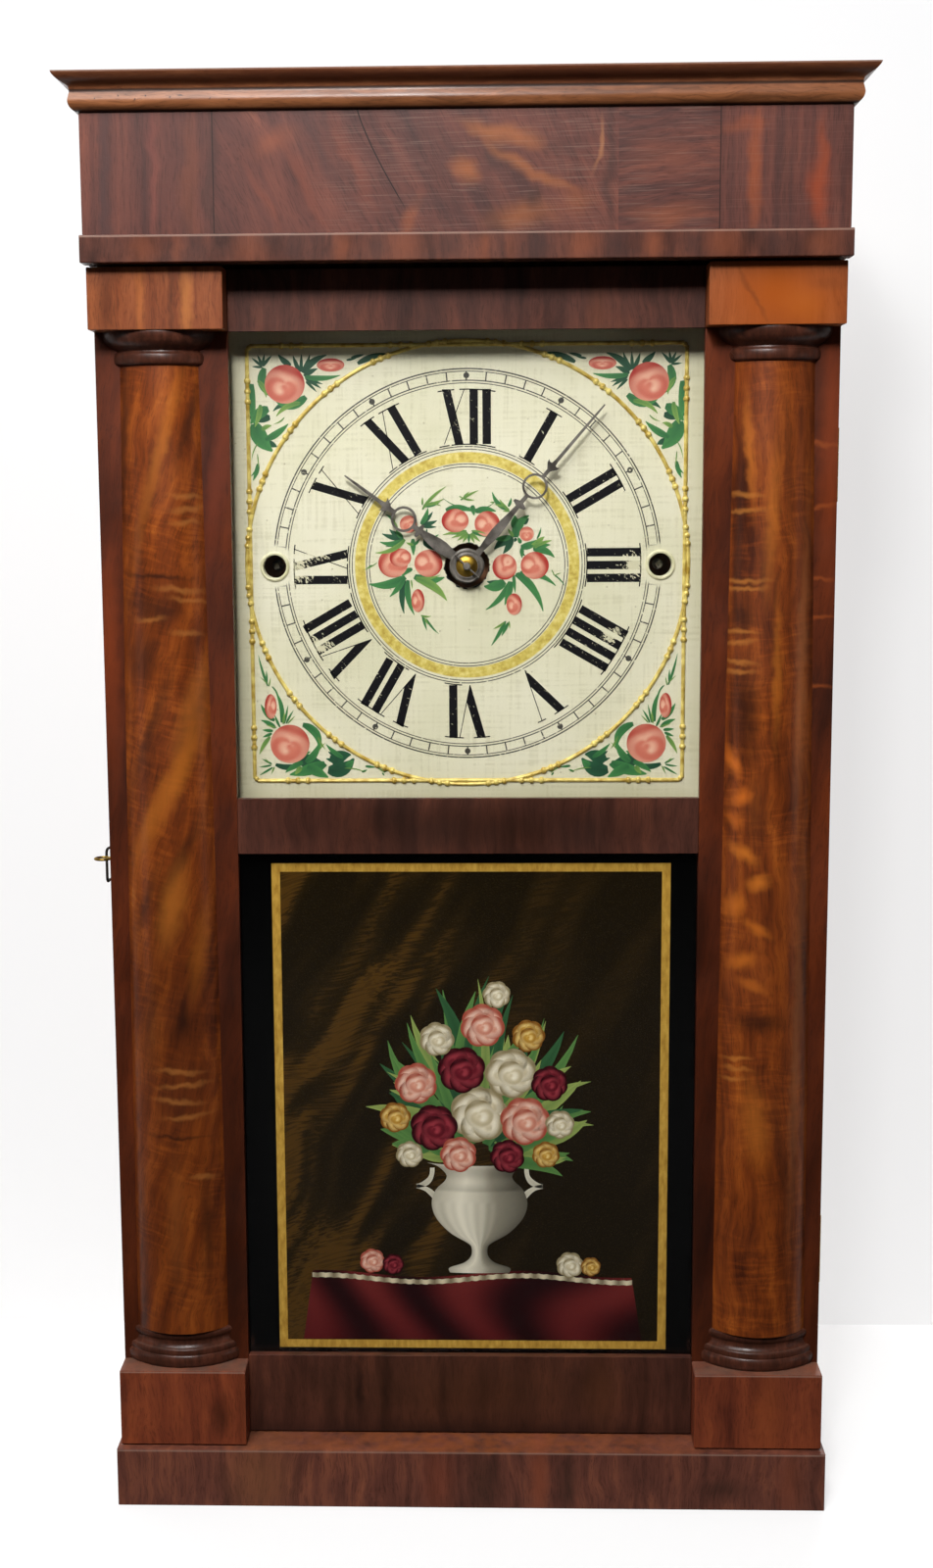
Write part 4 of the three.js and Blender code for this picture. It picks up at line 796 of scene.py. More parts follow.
# The dial's flowers, in mm from its centre and drawn for the left side: each stroke has its root (x, z), its
# tip (x, z), its bend as a share of its length, and its width.
PALETTE = {"deep": ("#133a28", "#235a3a"), "leaf": ("#1d5634", "#468a48"), "pale": ("#356e38", "#88aa50")}
BRUSHWORK = {
    "upper_corner": {
        "deep": [
            (-112.1, 109.5, -117.9, 114.2, 0, 1.4), (-112, 109.9, -114.7, 115.7, 0, 1.4),
            (-112, 109.9, -110.8, 116.1, 0, 1.4), (-111.8, 109.5, -106.7, 115.4, 0.05, 1.6),
            (-112.1, 109, -117.7, 109.5, 0, 1.2), (-96.4, 109.8, -103.2, 115.8, 0.1, 2.9),
            (-91.2, 106.3, -95, 115.2, 0.08, 2.1), (-90.8, 106.3, -90.4, 115.9, 0, 1.7),
            (-90.3, 106.3, -85.8, 115.7, -0.1, 1.9), (-89.9, 105.9, -76.6, 115.4, 0.18, 3.4),
            (-89.1, 104.1, -81.7, 108, 0.1, 2.6), (-88.6, 103.3, -79, 99.8, -0.05, 1.7),
            (-88.2, 102.4, -79.9, 97.4, 0.05, 1.7), (-88.2, 101.1, -82.4, 95.5, 0.05, 1.4),
            (-63.1, 113.8, -56, 115.5, 0, 1.6), (-59.6, 110.6, -42.9, 115.8, 0.12, 2.9),
            (-65.7, 112.5, -60.4, 113.4, 0, 1.2), (-94.1, 88.7, -106.5, 85.3, -0.3, 2.9),
            (-108.3, 81.9, -120.7, 82.4, 0.1, 4.3), (-110.4, 68, -104.7, 65.8, 0.1, 3.1),
            (-114.7, 74.1, -117.8, 74.1, 0, 1.7)],
        "leaf": [
            (-88.6, 103.7, -69.3, 104.4, -0.12, 2.6), (-110.9, 108.6, -106.8, 92.9, -0.42, 4.3),
            (-88.3, 92.9, -106.8, 93.5, 0.5, 4.7), (-118.1, 100.1, -116.8, 77.6, -0.08, 4),
            (-109.1, 86.6, -119, 78.5, -0.2, 5.2), (-116.8, 78.5, -107.3, 63.6, -0.2, 7.8),
            (-111.2, 69.7, -98.3, 78.3, -0.1, 3.4), (-115.4, 56.7, -118.3, 47.6, 0.1, 2.2),
            (-115.2, 55, -119.6, 49.8, 0.1, 1.2)],
        "pale": [
            (-114.8, 101.8, -110.3, 92.7, 0.25, 2.2), (-91.5, 89.5, -104.8, 82.5, -0.25, 2.6),
            (-113.5, 88.8, -116.8, 76.7, 0.1, 2.6), (-112.9, 75, -107.5, 77.5, 0.2, 2.2),
            (-100.4, 81.8, -106.2, 78.4, 0.2, 0.7), (-115.2, 68, -118.9, 58.1, -0.15, 0.6),
            (-115.6, 62, -115, 54.1, 0, 0.6)],
    },
    "lower_corner": {
        "deep": [
            (-108.6, -111.3, -92.8, -109.6, -0.3, 2.9), (-95.3, -107.1, -79.7, -111.8, -0.15, 7.3),
            (-78.9, -114.4, -64.3, -108, -0.35, 7.3), (-77.1, -110.1, -66, -105.8, 0.2, 6.5),
            (-72.8, -107.5, -78.7, -104.1, 0, 2.4), (-73.7, -110.1, -80, -108, 0, 2.1),
            (-72.9, -112.7, -78.8, -113.1, 0, 1.9)],
        "leaf": [
            (-112.2, -66.8, -117.2, -49.3, 0.05, 1.3), (-112.6, -64.9, -112.9, -58.1, 0, 1),
            (-109.9, -67, -106.2, -72.5, 0.1, 0.8), (-104.8, -87.4, -108, -69.8, -0.18, 2.3),
            (-108.8, -86.3, -116.3, -77.2, 0.15, 2.6), (-105.8, -90, -108.7, -82.9, 0.05, 1.3),
            (-103.2, -88, -101, -77.7, 0, 1.1), (-102.2, -88, -98, -80.6, 0.05, 1.1),
            (-108.4, -90.4, -116.4, -86.1, -0.12, 2.3), (-109.8, -92.1, -115.7, -91.6, 0, 1.6),
            (-110.4, -93.6, -115.5, -95.7, 0, 1.5), (-110.7, -111, -116.2, -108.1, 0, 1),
            (-111.1, -111.7, -117.8, -112.6, 0.05, 1), (-110.3, -113, -117.9, -117.5, 0, 1.1),
            (-92.9, -88.6, -83.8, -103.2, 0.42, 4.1), (-91.5, -110.1, -83.7, -99, -0.2, 3.6),
            (-93.2, -110.1, -103.1, -115.9, -0.1, 2.9), (-80.5, -110.9, -100.6, -117.1, 0.05, 5.7),
            (-90.7, -112.6, -78.9, -118.7, 0, 4.9), (-94.9, -107.5, -88.9, -104.1, 0.1, 2.4),
            (-70.3, -107.5, -79.9, -99.8, 0.1, 2.4), (-68.6, -112.7, -64.4, -109.3, 0, 3.2),
            (-59.8, -115.7, -56.8, -114.4, 0, 1), (-57.8, -112.3, -52.1, -113, 0, 1.3),
            (-47.9, -115.3, -44.9, -114.9, 0, 1.1), (-48.3, -116.1, -47.1, -117.9, 0, 0.8)],
        "pale": [
            (-111.6, -67, -110.6, -62, 0, 0.7), (-112, -65.8, -116.6, -61.5, 0, 0.6),
            (-103.9, -88.3, -103.1, -81.5, 0, 1.1), (-101.4, -88, -97.1, -83.6, 0, 0.7),
            (-111.5, -95.5, -117.6, -105.4, -0.1, 2.1), (-107.8, -90.4, -113.7, -88.7, 0, 0.8),
            (-109.3, -112.6, -111.2, -116.9, 0, 0.8), (-112, -110.4, -114.5, -107.9, 0, 0.6),
            (-83.8, -103.2, -80.3, -99, 0.1, 0.6), (-84.4, -95.6, -80.2, -102.8, -0.1, 1),
            (-94.1, -112.6, -97.6, -116.9, 0, 2.4), (-69.5, -113.5, -57.8, -115.7, 0.12, 0.6),
            (-52.1, -112.7, -46.6, -116.6, 0.1, 0.6)],
    },
    "middle": {
        "deep": [
            (-8.3, 31.8, 2.3, 30.9, 0.1, 2.4), (-25.1, 23, -18.9, 29.8, -0.1, 2.1),
            (-24.6, 22.6, -16.5, 25, -0.1, 2.2), (-24.7, 21.8, -16.9, 21.4, 0, 1.7),
            (-35.3, 15, -47.1, 17.9, 0.1, 2.7), (-35.7, 15.4, -43, 20.3, 0.1, 2.7),
            (-35.3, 14.2, -45.1, 11, 0.15, 1.9), (-23.5, 12.5, -14.9, 8.8, 0.1, 4),
            (-23.9, 13.3, -19, 15.7, -0.1, 3.2), (-21.5, 10.9, -23.9, 14.9, 0, 3.2),
            (-23.1, 11.7, -22.2, 20.6, 0, 1.9), (-34.8, -7.8, -35.2, -26.4, -0.14, 3),
            (20.1, -9.7, 11.1, -8.8, 0.1, 3.2), (25.8, 15.1, 15.2, 9, -0.2, 4.4),
            (25, 14.7, 20.1, 6.6, 0.1, 3.2), (31.5, 22.7, 34.4, 25.9, 0.1, 2.4),
            (27.4, 15.1, 26.2, 13, 0, 1.6), (29.5, 7.4, 32.3, 5.3, 0, 1.3)],
        "leaf": [
            (-11.6, 30.6, 4, 29.7, 0.22, 3.2), (4.7, 29.7, 16.1, 29.9, 0.2, 3.2),
            (3.1, 33.3, 4, 27.7, 0, 2.4), (-0.2, 18.8, -11.6, 17.9, 0.1, 1.1),
            (1.2, 17.5, 1, 12.5, 0, 1.4), (2.9, 18.4, 11.2, 15.7, 0.05, 1.7),
            (3.5, 32.1, -13.2, 37.3, 0.22, 0.6), (4.7, 31.3, 15.3, 34.7, -0.2, 0.6),
            (-23.4, 32.7, -14.8, 35.1, -0.15, 1.1), (23, 30.8, 14.1, 40.4, 0.28, 2.4),
            (23, 32.4, 24.6, 37.2, -0.1, 1.4), (-25.5, 23, -21.5, 31.9, -0.15, 2.4),
            (-40.1, 23.9, -45, 28.4, -0.2, 1.4), (-34.5, 14.6, -48.4, 13.4, 0.25, 2.7),
            (-35.7, 15.4, -39.2, 19.9, 0.1, 2.4), (-21.4, 13.3, -15.7, 17.3, 0, 1.6),
            (-30, 15, -29.7, 5.9, 0, 2.5), (-29.2, 11.7, -26.3, 14.9, -0.1, 1.4),
            (-34.3, -6.1, -54.5, -9.9, 0.22, 4.4), (-35.1, -7.1, -43.1, -16.9, 0.1, 2.7),
            (-32.9, -7.8, -29.5, -27.2, -0.16, 2.9), (-29.3, -5.8, -12.6, -6.4, -0.22, 4.6),
            (-30.4, -1.7, -36.3, -6.1, -0.25, 2.4), (-25, -27.8, -22.6, -35.8, 0, 1.3),
            (-22.7, -29.5, -15.9, -37.8, -0.1, 1.1), (-52.6, 0.5, -55.9, -1.5, 0, 1.1),
            (20.9, -8.8, 9.5, -11.4, 0.25, 5.2), (23.8, -8.9, 10.4, -24.5, 0.18, 2.9),
            (24.6, -8.9, 20.9, -21.9, 0.05, 3.2), (25.8, -4.8, 26.8, -15, 0, 1.7),
            (27, -4.8, 42.3, -25.4, 0.22, 3.5), (27.9, -4.4, 40.3, -17.6, 0.15, 3.2),
            (29.5, -4, 49.3, -11.3, 0.22, 3), (21.3, -30.9, 13.5, -44.4, 0.05, 1.9),
            (22.9, -31.7, 19.2, -39.2, 0, 1.6), (24.2, 15.9, 15.2, 14.7, 0.1, 2.9),
            (27, 15.5, 34.4, 27.5, 0.3, 4.8), (26.6, 20.3, 26.6, 27.6, 0, 4),
            (29.9, 10.2, 40.1, 14.6, -0.2, 3.5), (29.9, 12.2, 28.3, 15.5, 0, 1.9),
            (36.8, 8.9, 48.5, 4.4, 0.25, 3.5), (37.2, 9.3, 46.2, 11.3, 0.1, 2.7),
            (30.5, 9.8, 30.5, 4.1, 0, 2.1), (38.8, 14.6, 41.1, 20.9, -0.1, 1),
            (47.8, -4.9, 54.5, -11.6, 0.12, 0.8)],
        "pale": [
            (-0.2, 19.2, -13.4, 17.1, -0.05, 1.6), (0.2, 18.4, -8.4, 15.5, 0, 1.4),
            (0.6, 18, -5.3, 13.9, 0, 1.5), (0.7, 17.6, -2.3, 12.9, 0, 1.4),
            (1.8, 17.6, 4.2, 12.5, 0, 1.4), (2.4, 17.9, 7.3, 13.3, 0, 1.6),
            (2.6, 19.2, 10.4, 17.6, 0.1, 1.1), (15.3, 34.7, 12.8, 34.9, 0, 0.8),
            (-24.6, 31.1, -11.5, 43.5, 0.12, 1.6), (-23.8, 33.5, -12.8, 36.8, -0.1, 1.4),
            (-24.6, 33.5, -24.5, 37.9, 0, 1), (-19.7, 35.1, -14, 33, 0, 0.8),
            (-3.4, 36.2, 6.5, 41.4, 0.05, 1.3), (-1.8, 37.6, 1.5, 40.6, 0.05, 1),
            (-1.8, 37, 4.3, 36.2, -0.1, 1), (-4.2, 38.2, -1.8, 37.2, 0, 0.6),
            (23.4, 30.4, 18.1, 36.5, 0.1, 1.4), (21, 32.4, 15.3, 33.7, 0, 1.1),
            (23.8, 30, 19.7, 29.9, 0, 0.8), (-38.5, 20.7, -41.3, 26.3, 0, 1.3),
            (-34.5, 14.6, -50.9, 7.4, 0.25, 2.4), (-29.6, 11.7, -33.7, 13, 0.1, 1.4),
            (-28.3, -7, -11.3, -19.3, 0.2, 4.1), (-31, -7.8, -30.5, -12.7, 0, 0.8),
            (-28.5, -6.2, -15, -5, -0.2, 1.4), (-25.8, -27.4, -20.1, -27.8, -0.2, 1),
            (-23.8, -29, -21.8, -32.7, 0, 1), (-50.1, 1.9, -57.9, -2.1, 0.1, 0.6),
            (20.9, -31.3, 14.5, -35.1, 0.1, 1.1), (23.3, -30.9, 23.8, -35, 0, 0.8),
            (25.8, 15.9, 22.6, 20.3, 0, 1.6), (37.2, 9.7, 42.9, 15.8, 0.1, 2.9),
            (38.4, 10.5, 47, 13.7, 0.1, 1.7), (39.2, 13, 35.6, 11.4, 0, 1.1),
            (47, -2.5, 49.1, -6.5, 0, 0.6), (49.1, -5.3, 52.3, -4.1, 0, 0.6)],
    },
}
# Roses and buds: centre (x, z), half size (x, z), lean of the red rim in degrees, and redness.
ROSES = {
    "upper_corner": [(-99.9, 99.8, 11.0, 10.5, 60, 0.8), (-74.5, 110.0, 7.6, 3.6, 90, 1.0)],
    "lower_corner": [(-100.3, -99.6, 11.0, 10.9, 60, 0.6), (-110.8, -78.3, 3.4, 7.0, 170, 0.9)],
    "middle": [
        (-6.5, 24.9, 7.5, 6.4, 180, 0.9), (11.3, 23.0, 7.0, 7.0, 20, 0.8), (-41.1, 1.6, 8.2, 7.9, 180, 0.7),
        (-37.0, 4.6, 6.0, 5.2, 170, 0.9), (-21.4, 1.4, 7.8, 7.5, 0, 0.8), (20.9, -0.7, 6.8, 7.1, 230, 0.9),
        (37.6, 0.0, 7.8, 7.5, 10, 0.9), (-27.4, -19.2, 3.6, 6.4, 20, 0.9), (26.2, -21.5, 4.3, 6.0, 40, 0.8),
        (-32.4, 23.1, 4.8, 4.8, 120, 0.5), (33.1, 17.4, 4.0, 4.0, 90, 0.4)],
}


def stroke(bm, tint, start, end, bend, width, shades, y, blunt=0.0):
    """One pressed brush stroke: it swells from its root and is drawn off to a point."""
    (x0, z0), (x1, z1) = start, end
    dx, dz = x1 - x0, z1 - z0
    cx, cz = (x0 + x1) / 2 - dz * bend, (z0 + z1) / 2 + dx * bend
    root, tip = (linear(s) for s in shades)

    def lay(u, v):
        x = (1 - v) ** 2 * x0 + 2 * v * (1 - v) * cx + v * v * x1
        z = (1 - v) ** 2 * z0 + 2 * v * (1 - v) * cz + v * v * z1
        tx, tz = (1 - v) * (cx - x0) + v * (x1 - cx), (1 - v) * (cz - z0) + v * (z1 - cz)
        size = math.hypot(tx, tz) or 1.0
        swell = max(blunt, math.sin(math.pi * min(1.0, 0.08 + 0.92 * v) ** 0.8) ** 0.8) if v < 1 else blunt
        off = u * width / 2 * max(swell, 0.02)
        return (x - tz / size * off, y, z + tx / size * off)

    sheet(bm, 2, 8, lay, lambda u, v: mixed(root, tip, 0.15 + 0.55 * v + 0.3 * abs(u)), tint)


def bloom(bm, tint, x, z, half_x, half_z, lean, red, y, shades=("#eebfa2", "#d67c66", "#a82a20"), fine=24):
    """A rose of overlapped petals in curved strokes about a point inside one rim, dark at the rims."""
    pale, flesh, dark = (linear(s) for s in shades)
    lean = math.radians(lean)

    def disc(u, v):
        a, b = u, 2 * v - 1
        return a * math.sqrt(1 - b * b / 2), b * math.sqrt(1 - a * a / 2)

    def lay(u, v):
        a, b = disc(u, v)
        return (x + a * half_x, y, z + b * half_z)

    def shade(u, v):
        a, b = disc(u, v)
        r, angle = math.hypot(a, b), math.atan2(b, a)
        rim = max(0.0, r - 0.42) / 0.5 * (0.6 + 0.4 * math.cos(angle - lean))
        heart = math.hypot(a + 0.45 * math.cos(lean), b + 0.45 * math.sin(lean))
        petal = math.sin(8.0 * heart + 1.3 * math.sin(2 * angle - lean) + 0.6)
        near = 0.35 + 0.65 * max(0.0, 1 - heart)
        colour = mixed(flesh, pale, 0.3 + 0.62 * petal * near)
        return mixed(colour, dark, red * (rim + 0.3 * max(0.0, -petal) * (0.4 + r)))

    sheet(bm, fine, fine, lay, shade, tint)


def flowers():
    bm = bmesh.new()
    tint = bm.verts.layers.float_color.new("tint")
    for group, tones in BRUSHWORK.items():
        for side in ((-1, 1) if group != "middle" else (1,)):
            mirror = -1 if side == 1 and group != "middle" else 1
            for level, (tone, marks) in enumerate(tones.items()):
                for k, (x0, z0, x1, z1, bend, width) in enumerate(marks):
                    depth = DIAL_Y - 0.04 - 0.06 * level - 0.005 * (k % 12)
                    stroke(bm, tint, (x0 * mirror, DIAL_Z + z0), (x1 * mirror, DIAL_Z + z1), bend * mirror,
                           1.15 * width, PALETTE[tone], depth, 0.12)
            for k, (x, z, half_x, half_z, lean, red) in enumerate(ROSES[group]):
                turn = lean if mirror == 1 else 180 - lean
                bloom(bm, tint, x * mirror, DIAL_Z + z, half_x, half_z, turn, red,
                      DIAL_Y - 0.17 - 0.004 * k)
    return bm


piece("dial_flowers", flowers(), "case", flower_paint)


# Raised gesso line laid with a tube, then gilded: a square, a circle just larger, and beads in threes.
def gilt_border():
    bm = bmesh.new()
    half, radius, thick = 120.5, 122.6, 1.15
    rim = bmesh.ops.create_circle(bm, segments=10, radius=thick,
                                  matrix=Matrix.Translation((radius, 0, 0)) @ UPRIGHT)["verts"]
    ring_edges = {e for v in rim for e in v.link_edges}
    bmesh.ops.spin(bm, geom=rim + list(ring_edges), axis=(0, 0, 1), cent=(0, 0, 0), angle=TAU, steps=128,
                   use_merge=True)
    bmesh.ops.transform(bm, matrix=ON_DIAL @ UPRIGHT, verts=bm.verts)
    quarters = [Matrix.Rotation(side * math.pi / 2, 4, "Y") for side in range(4)]
    for quarter in quarters:
        bmesh.ops.create_cone(bm, cap_ends=True, segments=10, radius1=thick, radius2=thick,
                              depth=2 * half - 3,
                              matrix=ON_DIAL @ quarter @ Matrix.Translation((0, 0, half)) @ quarters[1])
        corner = quarter @ Vector((half - 1.0, 0, half - 1.0))
        bmesh.ops.create_uvsphere(bm, u_segments=10, v_segments=6, radius=1.5,
                                  matrix=Matrix.Translation((corner.x, DIAL_Y, DIAL_Z + corner.z)))
    # The beads' places: 24 threes on the circle, and four on each side of the square.
    spots = []
    for k in range(24):
        for step in (-1, 0, 1):
            angle = math.radians(7.5 + 15 * k + step * 2.1)
            spots.append((radius * math.sin(angle), radius * math.cos(angle)))
    for quarter in quarters:
        for at in (-96, -36, 36, 96):
            for step in (-1, 0, 1):
                spot = quarter @ Vector((at + step * 5.6, 0, half))
                spots.append((spot.x, spot.z))
    for x, z in spots:
        bmesh.ops.create_uvsphere(bm, u_segments=10, v_segments=6, radius=1.9,
                                  matrix=Matrix.Translation((x, DIAL_Y, DIAL_Z + z)))
    bmesh.ops.bisect_plane(bm, geom=bm.verts[:] + bm.edges[:] + bm.faces[:], plane_co=(0, DIAL_Y + 0.02, 0),
                           plane_no=(0, 1, 0), clear_outer=True)
    return bm


piece("dial_gilt_border", gilt_border(), "case", gilding)
for name, side in SIDES:
    rim = turned([(6.4, 0), (6.5, 0.7), (7.3, 1.0), (8.1, 0.7), (8.3, 0)],
                 (side * WINDING_X, DIAL_Y, DIAL_Z), "y", 40)
    piece(f"winding_hole_rim_{name}", rim, "case", rim_paint)

# ------------------------------------------------------------------ hands, collet and their hubs
for name in ("hour_hand", "minute_hand"):
    eased(name, steel, 0.22, 2)
HOUR_HUB_Y, MINUTE_HUB_Y = -14.6, -17.0      # front faces of the two hands
HUB = [(2.2, 0.15), (3.2, 0.3), (3.6, 0.15), (5.2, 0.22), (6.2, 0.5), (7.0, 0.5), (7.4, 0.2), (8.2, 0.15),
       (9.1, 0.35), (9.6, 0.1), (9.7, -0.7)]
piece("hour_hub", turned([(4.2, 0.0), *HUB[3:]], (0, HOUR_HUB_Y, DIAL_Z), "y"), "hour", steel)
piece("minute_hub", turned([(r * 0.95, h) for r, h in HUB], (0, MINUTE_HUB_Y, DIAL_Z), "y"), "minute",
      steel)
dome = smooth_line([(6.0, 0.1), (6.0, 0.5), (5.2, 1.3), (3.6, 2.0), (2.2, 2.2)], 5)
piece("domed_collet", turned([(2.15, 0.1), *dome, (2.15, 2.2)], (0, MINUTE_HUB_Y, DIAL_Z), "y"), "minute",
      brass, ["hand_collet"])

# ------------------------------------------------------------------ tablet: glass with its painting behind
def coat_of_paint(low, high):
    """A thin film of paint from one corner to the other."""
    low, high = Vector(low), Vector(high)
    bm = bmesh.new()
    lie = Matrix.Translation((low + high) / 2) @ Matrix.Diagonal((*(high - low), 1))
    bmesh.ops.create_cube(bm, size=1.0, matrix=lie)
    return bm


piece("tablet_ground", coat_of_paint((-134, PAINT_Y - 0.1, 75.4), (134, PAINT_Y, 382.4)), "door",
      tablet_ground)


def still_life():
    """A two-handled urn of flowers on a draped table, in flat painted shapes."""
    bm = bmesh.new()
    tint = bm.verts.layers.float_color.new("tint")
    rng = random.Random(7)
    mid, foot, front = 6.0, 129, PAINT_Y - 0.2
    wine, wine_lit, wine_deep = linear("#4c1215"), linear("#80302c"), linear("#20080a")

    def cloth(u, v):
        return (1.5 + u * (92 + 6 * (1 - v)), front, 88.2 + v * (40 + 2.0 * math.sin(5 * u)))

    def cloth_shade(u, v):
        fold = math.sin(9.5 * u + 2.2 * math.sin(2.3 * v + 2 * u)) * 0.5 + 0.5
        return mixed(mixed(wine_deep, wine, fold), wine_lit, 0.55 * fold * fold * (0.3 + 0.7 * v))

    sheet(bm, 96, 10, cloth, cloth_shade, tint)
    hem, hem_deep = linear("#dcd0ae"), linear("#7c7058")

    def fringe(u, v):
        scallop = 0.6 * abs(math.sin(60 * u))
        return (1.5 + u * 92.4, front - 0.02, 124.2 + 2.8 * v + 2.0 * math.sin(5 * u) - scallop)

    sheet(bm, 120, 2, fringe, lambda u, v: mixed(hem_deep, hem, 0.5 + 0.5 * math.sin(60 * u)), tint)
    stone = [linear(s) for s in ("#4e4a40", "#9a9482", "#e6dfca", "#8b8574")]
    urn = smooth_line([(17, 0), (17.5, 3), (9, 6), (5, 10), (4.6, 15), (7, 18), (17, 24), (25, 33),
                       (27.5, 42), (25, 50), (20, 55), (19, 59), (24, 64), (30, 66)], 5)

    def urn_lay(u, v):
        k = v * (len(urn) - 1)
        i = min(int(k), len(urn) - 2)
        half = urn[i][0] + (urn[i + 1][0] - urn[i][0]) * (k - i)
        up = urn[i][1] + (urn[i + 1][1] - urn[i][1]) * (k - i)
        return (mid + u * half, front - 0.04, foot + up + 1.6 * (u * u - 1) * (0.2 + v))

    def urn_shade(u, v):
        lit = (u + 1) / 2
        flute = 0.12 * math.sin(26 * u) * (1 if 0.3 < v < 0.62 else 0)
        shades = mixed(stone[1], stone[2], 1 - abs(lit - 0.3) * 2.6 + flute)
        neck = 0.3 * (0.5 + 0.5 * math.sin(30 * v)) * (v > 0.7)
        return mixed(shades, stone[0], max(0.0, lit - 0.55) * 2.0 + neck)

    sheet(bm, 40, 60, urn_lay, urn_shade, tint)
    for side in (-1, 1):
        for start, end, bend in (((24, 42), (36, 52), -0.3), ((36, 52), (27, 63), -0.45)):
            stroke(bm, tint, (mid + side * start[0], foot + start[1]), (mid + side * end[0], foot + end[1]),
                   -bend * side, 3.4, ("#a8a290", "#d8d2bc"), front - 0.03, 0.75)
    greens = [("#1c3824", "#34603a"), ("#2c5630", "#5f8a48"), ("#406634", "#98a85a")]
    for k in range(150):
        angle = rng.uniform(-0.35, math.pi + 0.35)
        reach_out = rng.uniform(30, 76) * (0.8 + 0.25 * math.sin(angle))
        cx, cz = mid + math.cos(angle) * rng.uniform(4, 30), 204 + math.sin(angle) * rng.uniform(2, 34)
        tip = (mid + math.cos(angle) * reach_out + rng.uniform(-6, 6),
               208 + math.sin(angle) * reach_out * 1.25)
        stroke(bm, tint, (cx, cz), tip, rng.uniform(-0.25, 0.25), rng.uniform(5, 10), greens[k % 3],
               front - 0.05 - 0.0005 * k)
    palettes = {
        "wine": ("#a8404a", "#701c28", "#2c060c"), "blush": ("#f2d8c4", "#dc9c84", "#a04a3a"),
        "cream": ("#f6f0dc", "#dccfae", "#8a7c5a"), "gold": ("#f0d890", "#c89a40", "#7a4c18")}
    # Each bloom: its place, its half size and its colour. Its petals lie a hair behind its heart.
    blooms = [
        (6, 224, 16, "cream"), (-20, 216, 13, "wine"), (32, 220, 13.5, "blush"), (-4, 250, 13, "wine"),
        (24, 248, 14, "cream"), (-30, 242, 11.5, "blush"), (46, 242, 10, "wine"), (8, 276, 12, "blush"),
        (-18, 268, 9.5, "cream"), (34, 270, 9, "gold"), (-42, 222, 8.5, "gold"), (52, 218, 8, "cream"),
        (16, 294, 7.5, "cream"), (-6, 200, 10, "blush"), (22, 199, 9.5, "wine"), (-34, 200, 7.5, "cream"),
        (44, 200, 7.5, "gold"), (-56, 136, 7, "blush"), (-44, 134, 6, "wine"), (58, 134, 7.5, "cream"),
        (70, 133, 5.5, "gold")]
    step = 0.0016
    for k, (x, z, size, kind) in enumerate(blooms):
        for petal in range(7):
            angle = TAU * petal / 7 + k
            depth = front - 0.15 - step * (k * 2) - 0.0001 * petal
            bloom(bm, tint, x + math.cos(angle) * size * 0.5, z + math.sin(angle) * size * 0.5, size * 0.56,
                  size * 0.56, math.degrees(angle), 0.9, depth, palettes[kind], 20)
        bloom(bm, tint, x, z, size * 0.52, size * 0.52, 120, 0.8, front - 0.15 - step * (k * 2 + 1),
              palettes[kind])
    return bm


piece("tablet_still_life", still_life(), "door", picture_paint)

# ------------------------------------------------------------------ latch, weights, barrels and bob
def box_mm(name):
    """A node's lowest and highest corners in mm."""
    return [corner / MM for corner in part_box(name)]


def rounded(points, bend, steps=6):
    """The line through the points, with each corner rounded off over this length."""
    line = [Vector(points[0])]
    for before, corner, after in zip(points, points[1:], points[2:]):
        corner = Vector(corner)
        start = corner + (Vector(before) - corner).normalized() * bend
        end = corner + (Vector(after) - corner).normalized() * bend
        line += [start.lerp(corner, t).lerp(corner.lerp(end, t), t)
                 for t in (k / steps for k in range(steps + 1))]
    return [*line, Vector(points[-1])]


def tube(bm, line, radius, sides=14):
    """A wire of this radius drawn along a line of points, closed at both ends."""
    line = [Vector(point) for point in line]
    ways = [(b - a).normalized() for a, b in zip(line, line[1:])]
    turn = Vector((0, 0, 1)).rotation_difference(ways[0])
    rings = []
    for k, point in enumerate(line):
        if 0 < k < len(ways):
            half_way = (ways[k - 1] + ways[k]).normalized()
            turn = (turn @ Vector((0, 0, 1))).rotation_difference(half_way) @ turn
        elif k:
            turn = (turn @ Vector((0, 0, 1))).rotation_difference(ways[-1]) @ turn
        made = bmesh.ops.create_circle(bm, cap_ends=k in (0, len(line) - 1), segments=sides, radius=radius,
                                       matrix=Matrix.Translation(point) @ turn.to_matrix().to_4x4())["verts"]
        edges = {edge for vert in made for edge in vert.link_edges if edge.other_vert(vert) in made}
        rings.append([edge for edge in edges if all(vert in made for vert in edge.verts)])
    for first, second in zip(rings, rings[1:]):
        bmesh.ops.bridge_loops(bm, edges=first + second)
    return bm


EYE_WIRE, EYE_RING, HOOK_WIRE = 0.7, 4.2, 0.8       # radii of the eye's wire and ring, and of the hook's wire
LINE_STEPS = 40
low, high = box_mm("latch_eye")
ring_x, ring_y, ring_z = low.x + EYE_RING + EYE_WIRE, (low.y + high.y) / 2, (low.z + high.z) / 2
wire_round = [(EYE_RING + EYE_WIRE * math.cos(a), ring_z + EYE_WIRE * math.sin(a)) for a in
              (TAU * k / 14 for k in range(15))]
eye_bolt = turned(wire_round, (ring_x, ring_y, 0), steps=48)
tube(eye_bolt, [(ring_x + EYE_RING, ring_y, ring_z), (-HALF, ring_y, ring_z)], EYE_WIRE)
tube(eye_bolt, [(-HALF - 0.5, ring_y, ring_z), (-HALF, ring_y, ring_z)], EYE_WIRE * 3, 28)
piece("latch_eye_bolt", eye_bolt, "door", brass, ["latch_eye"])

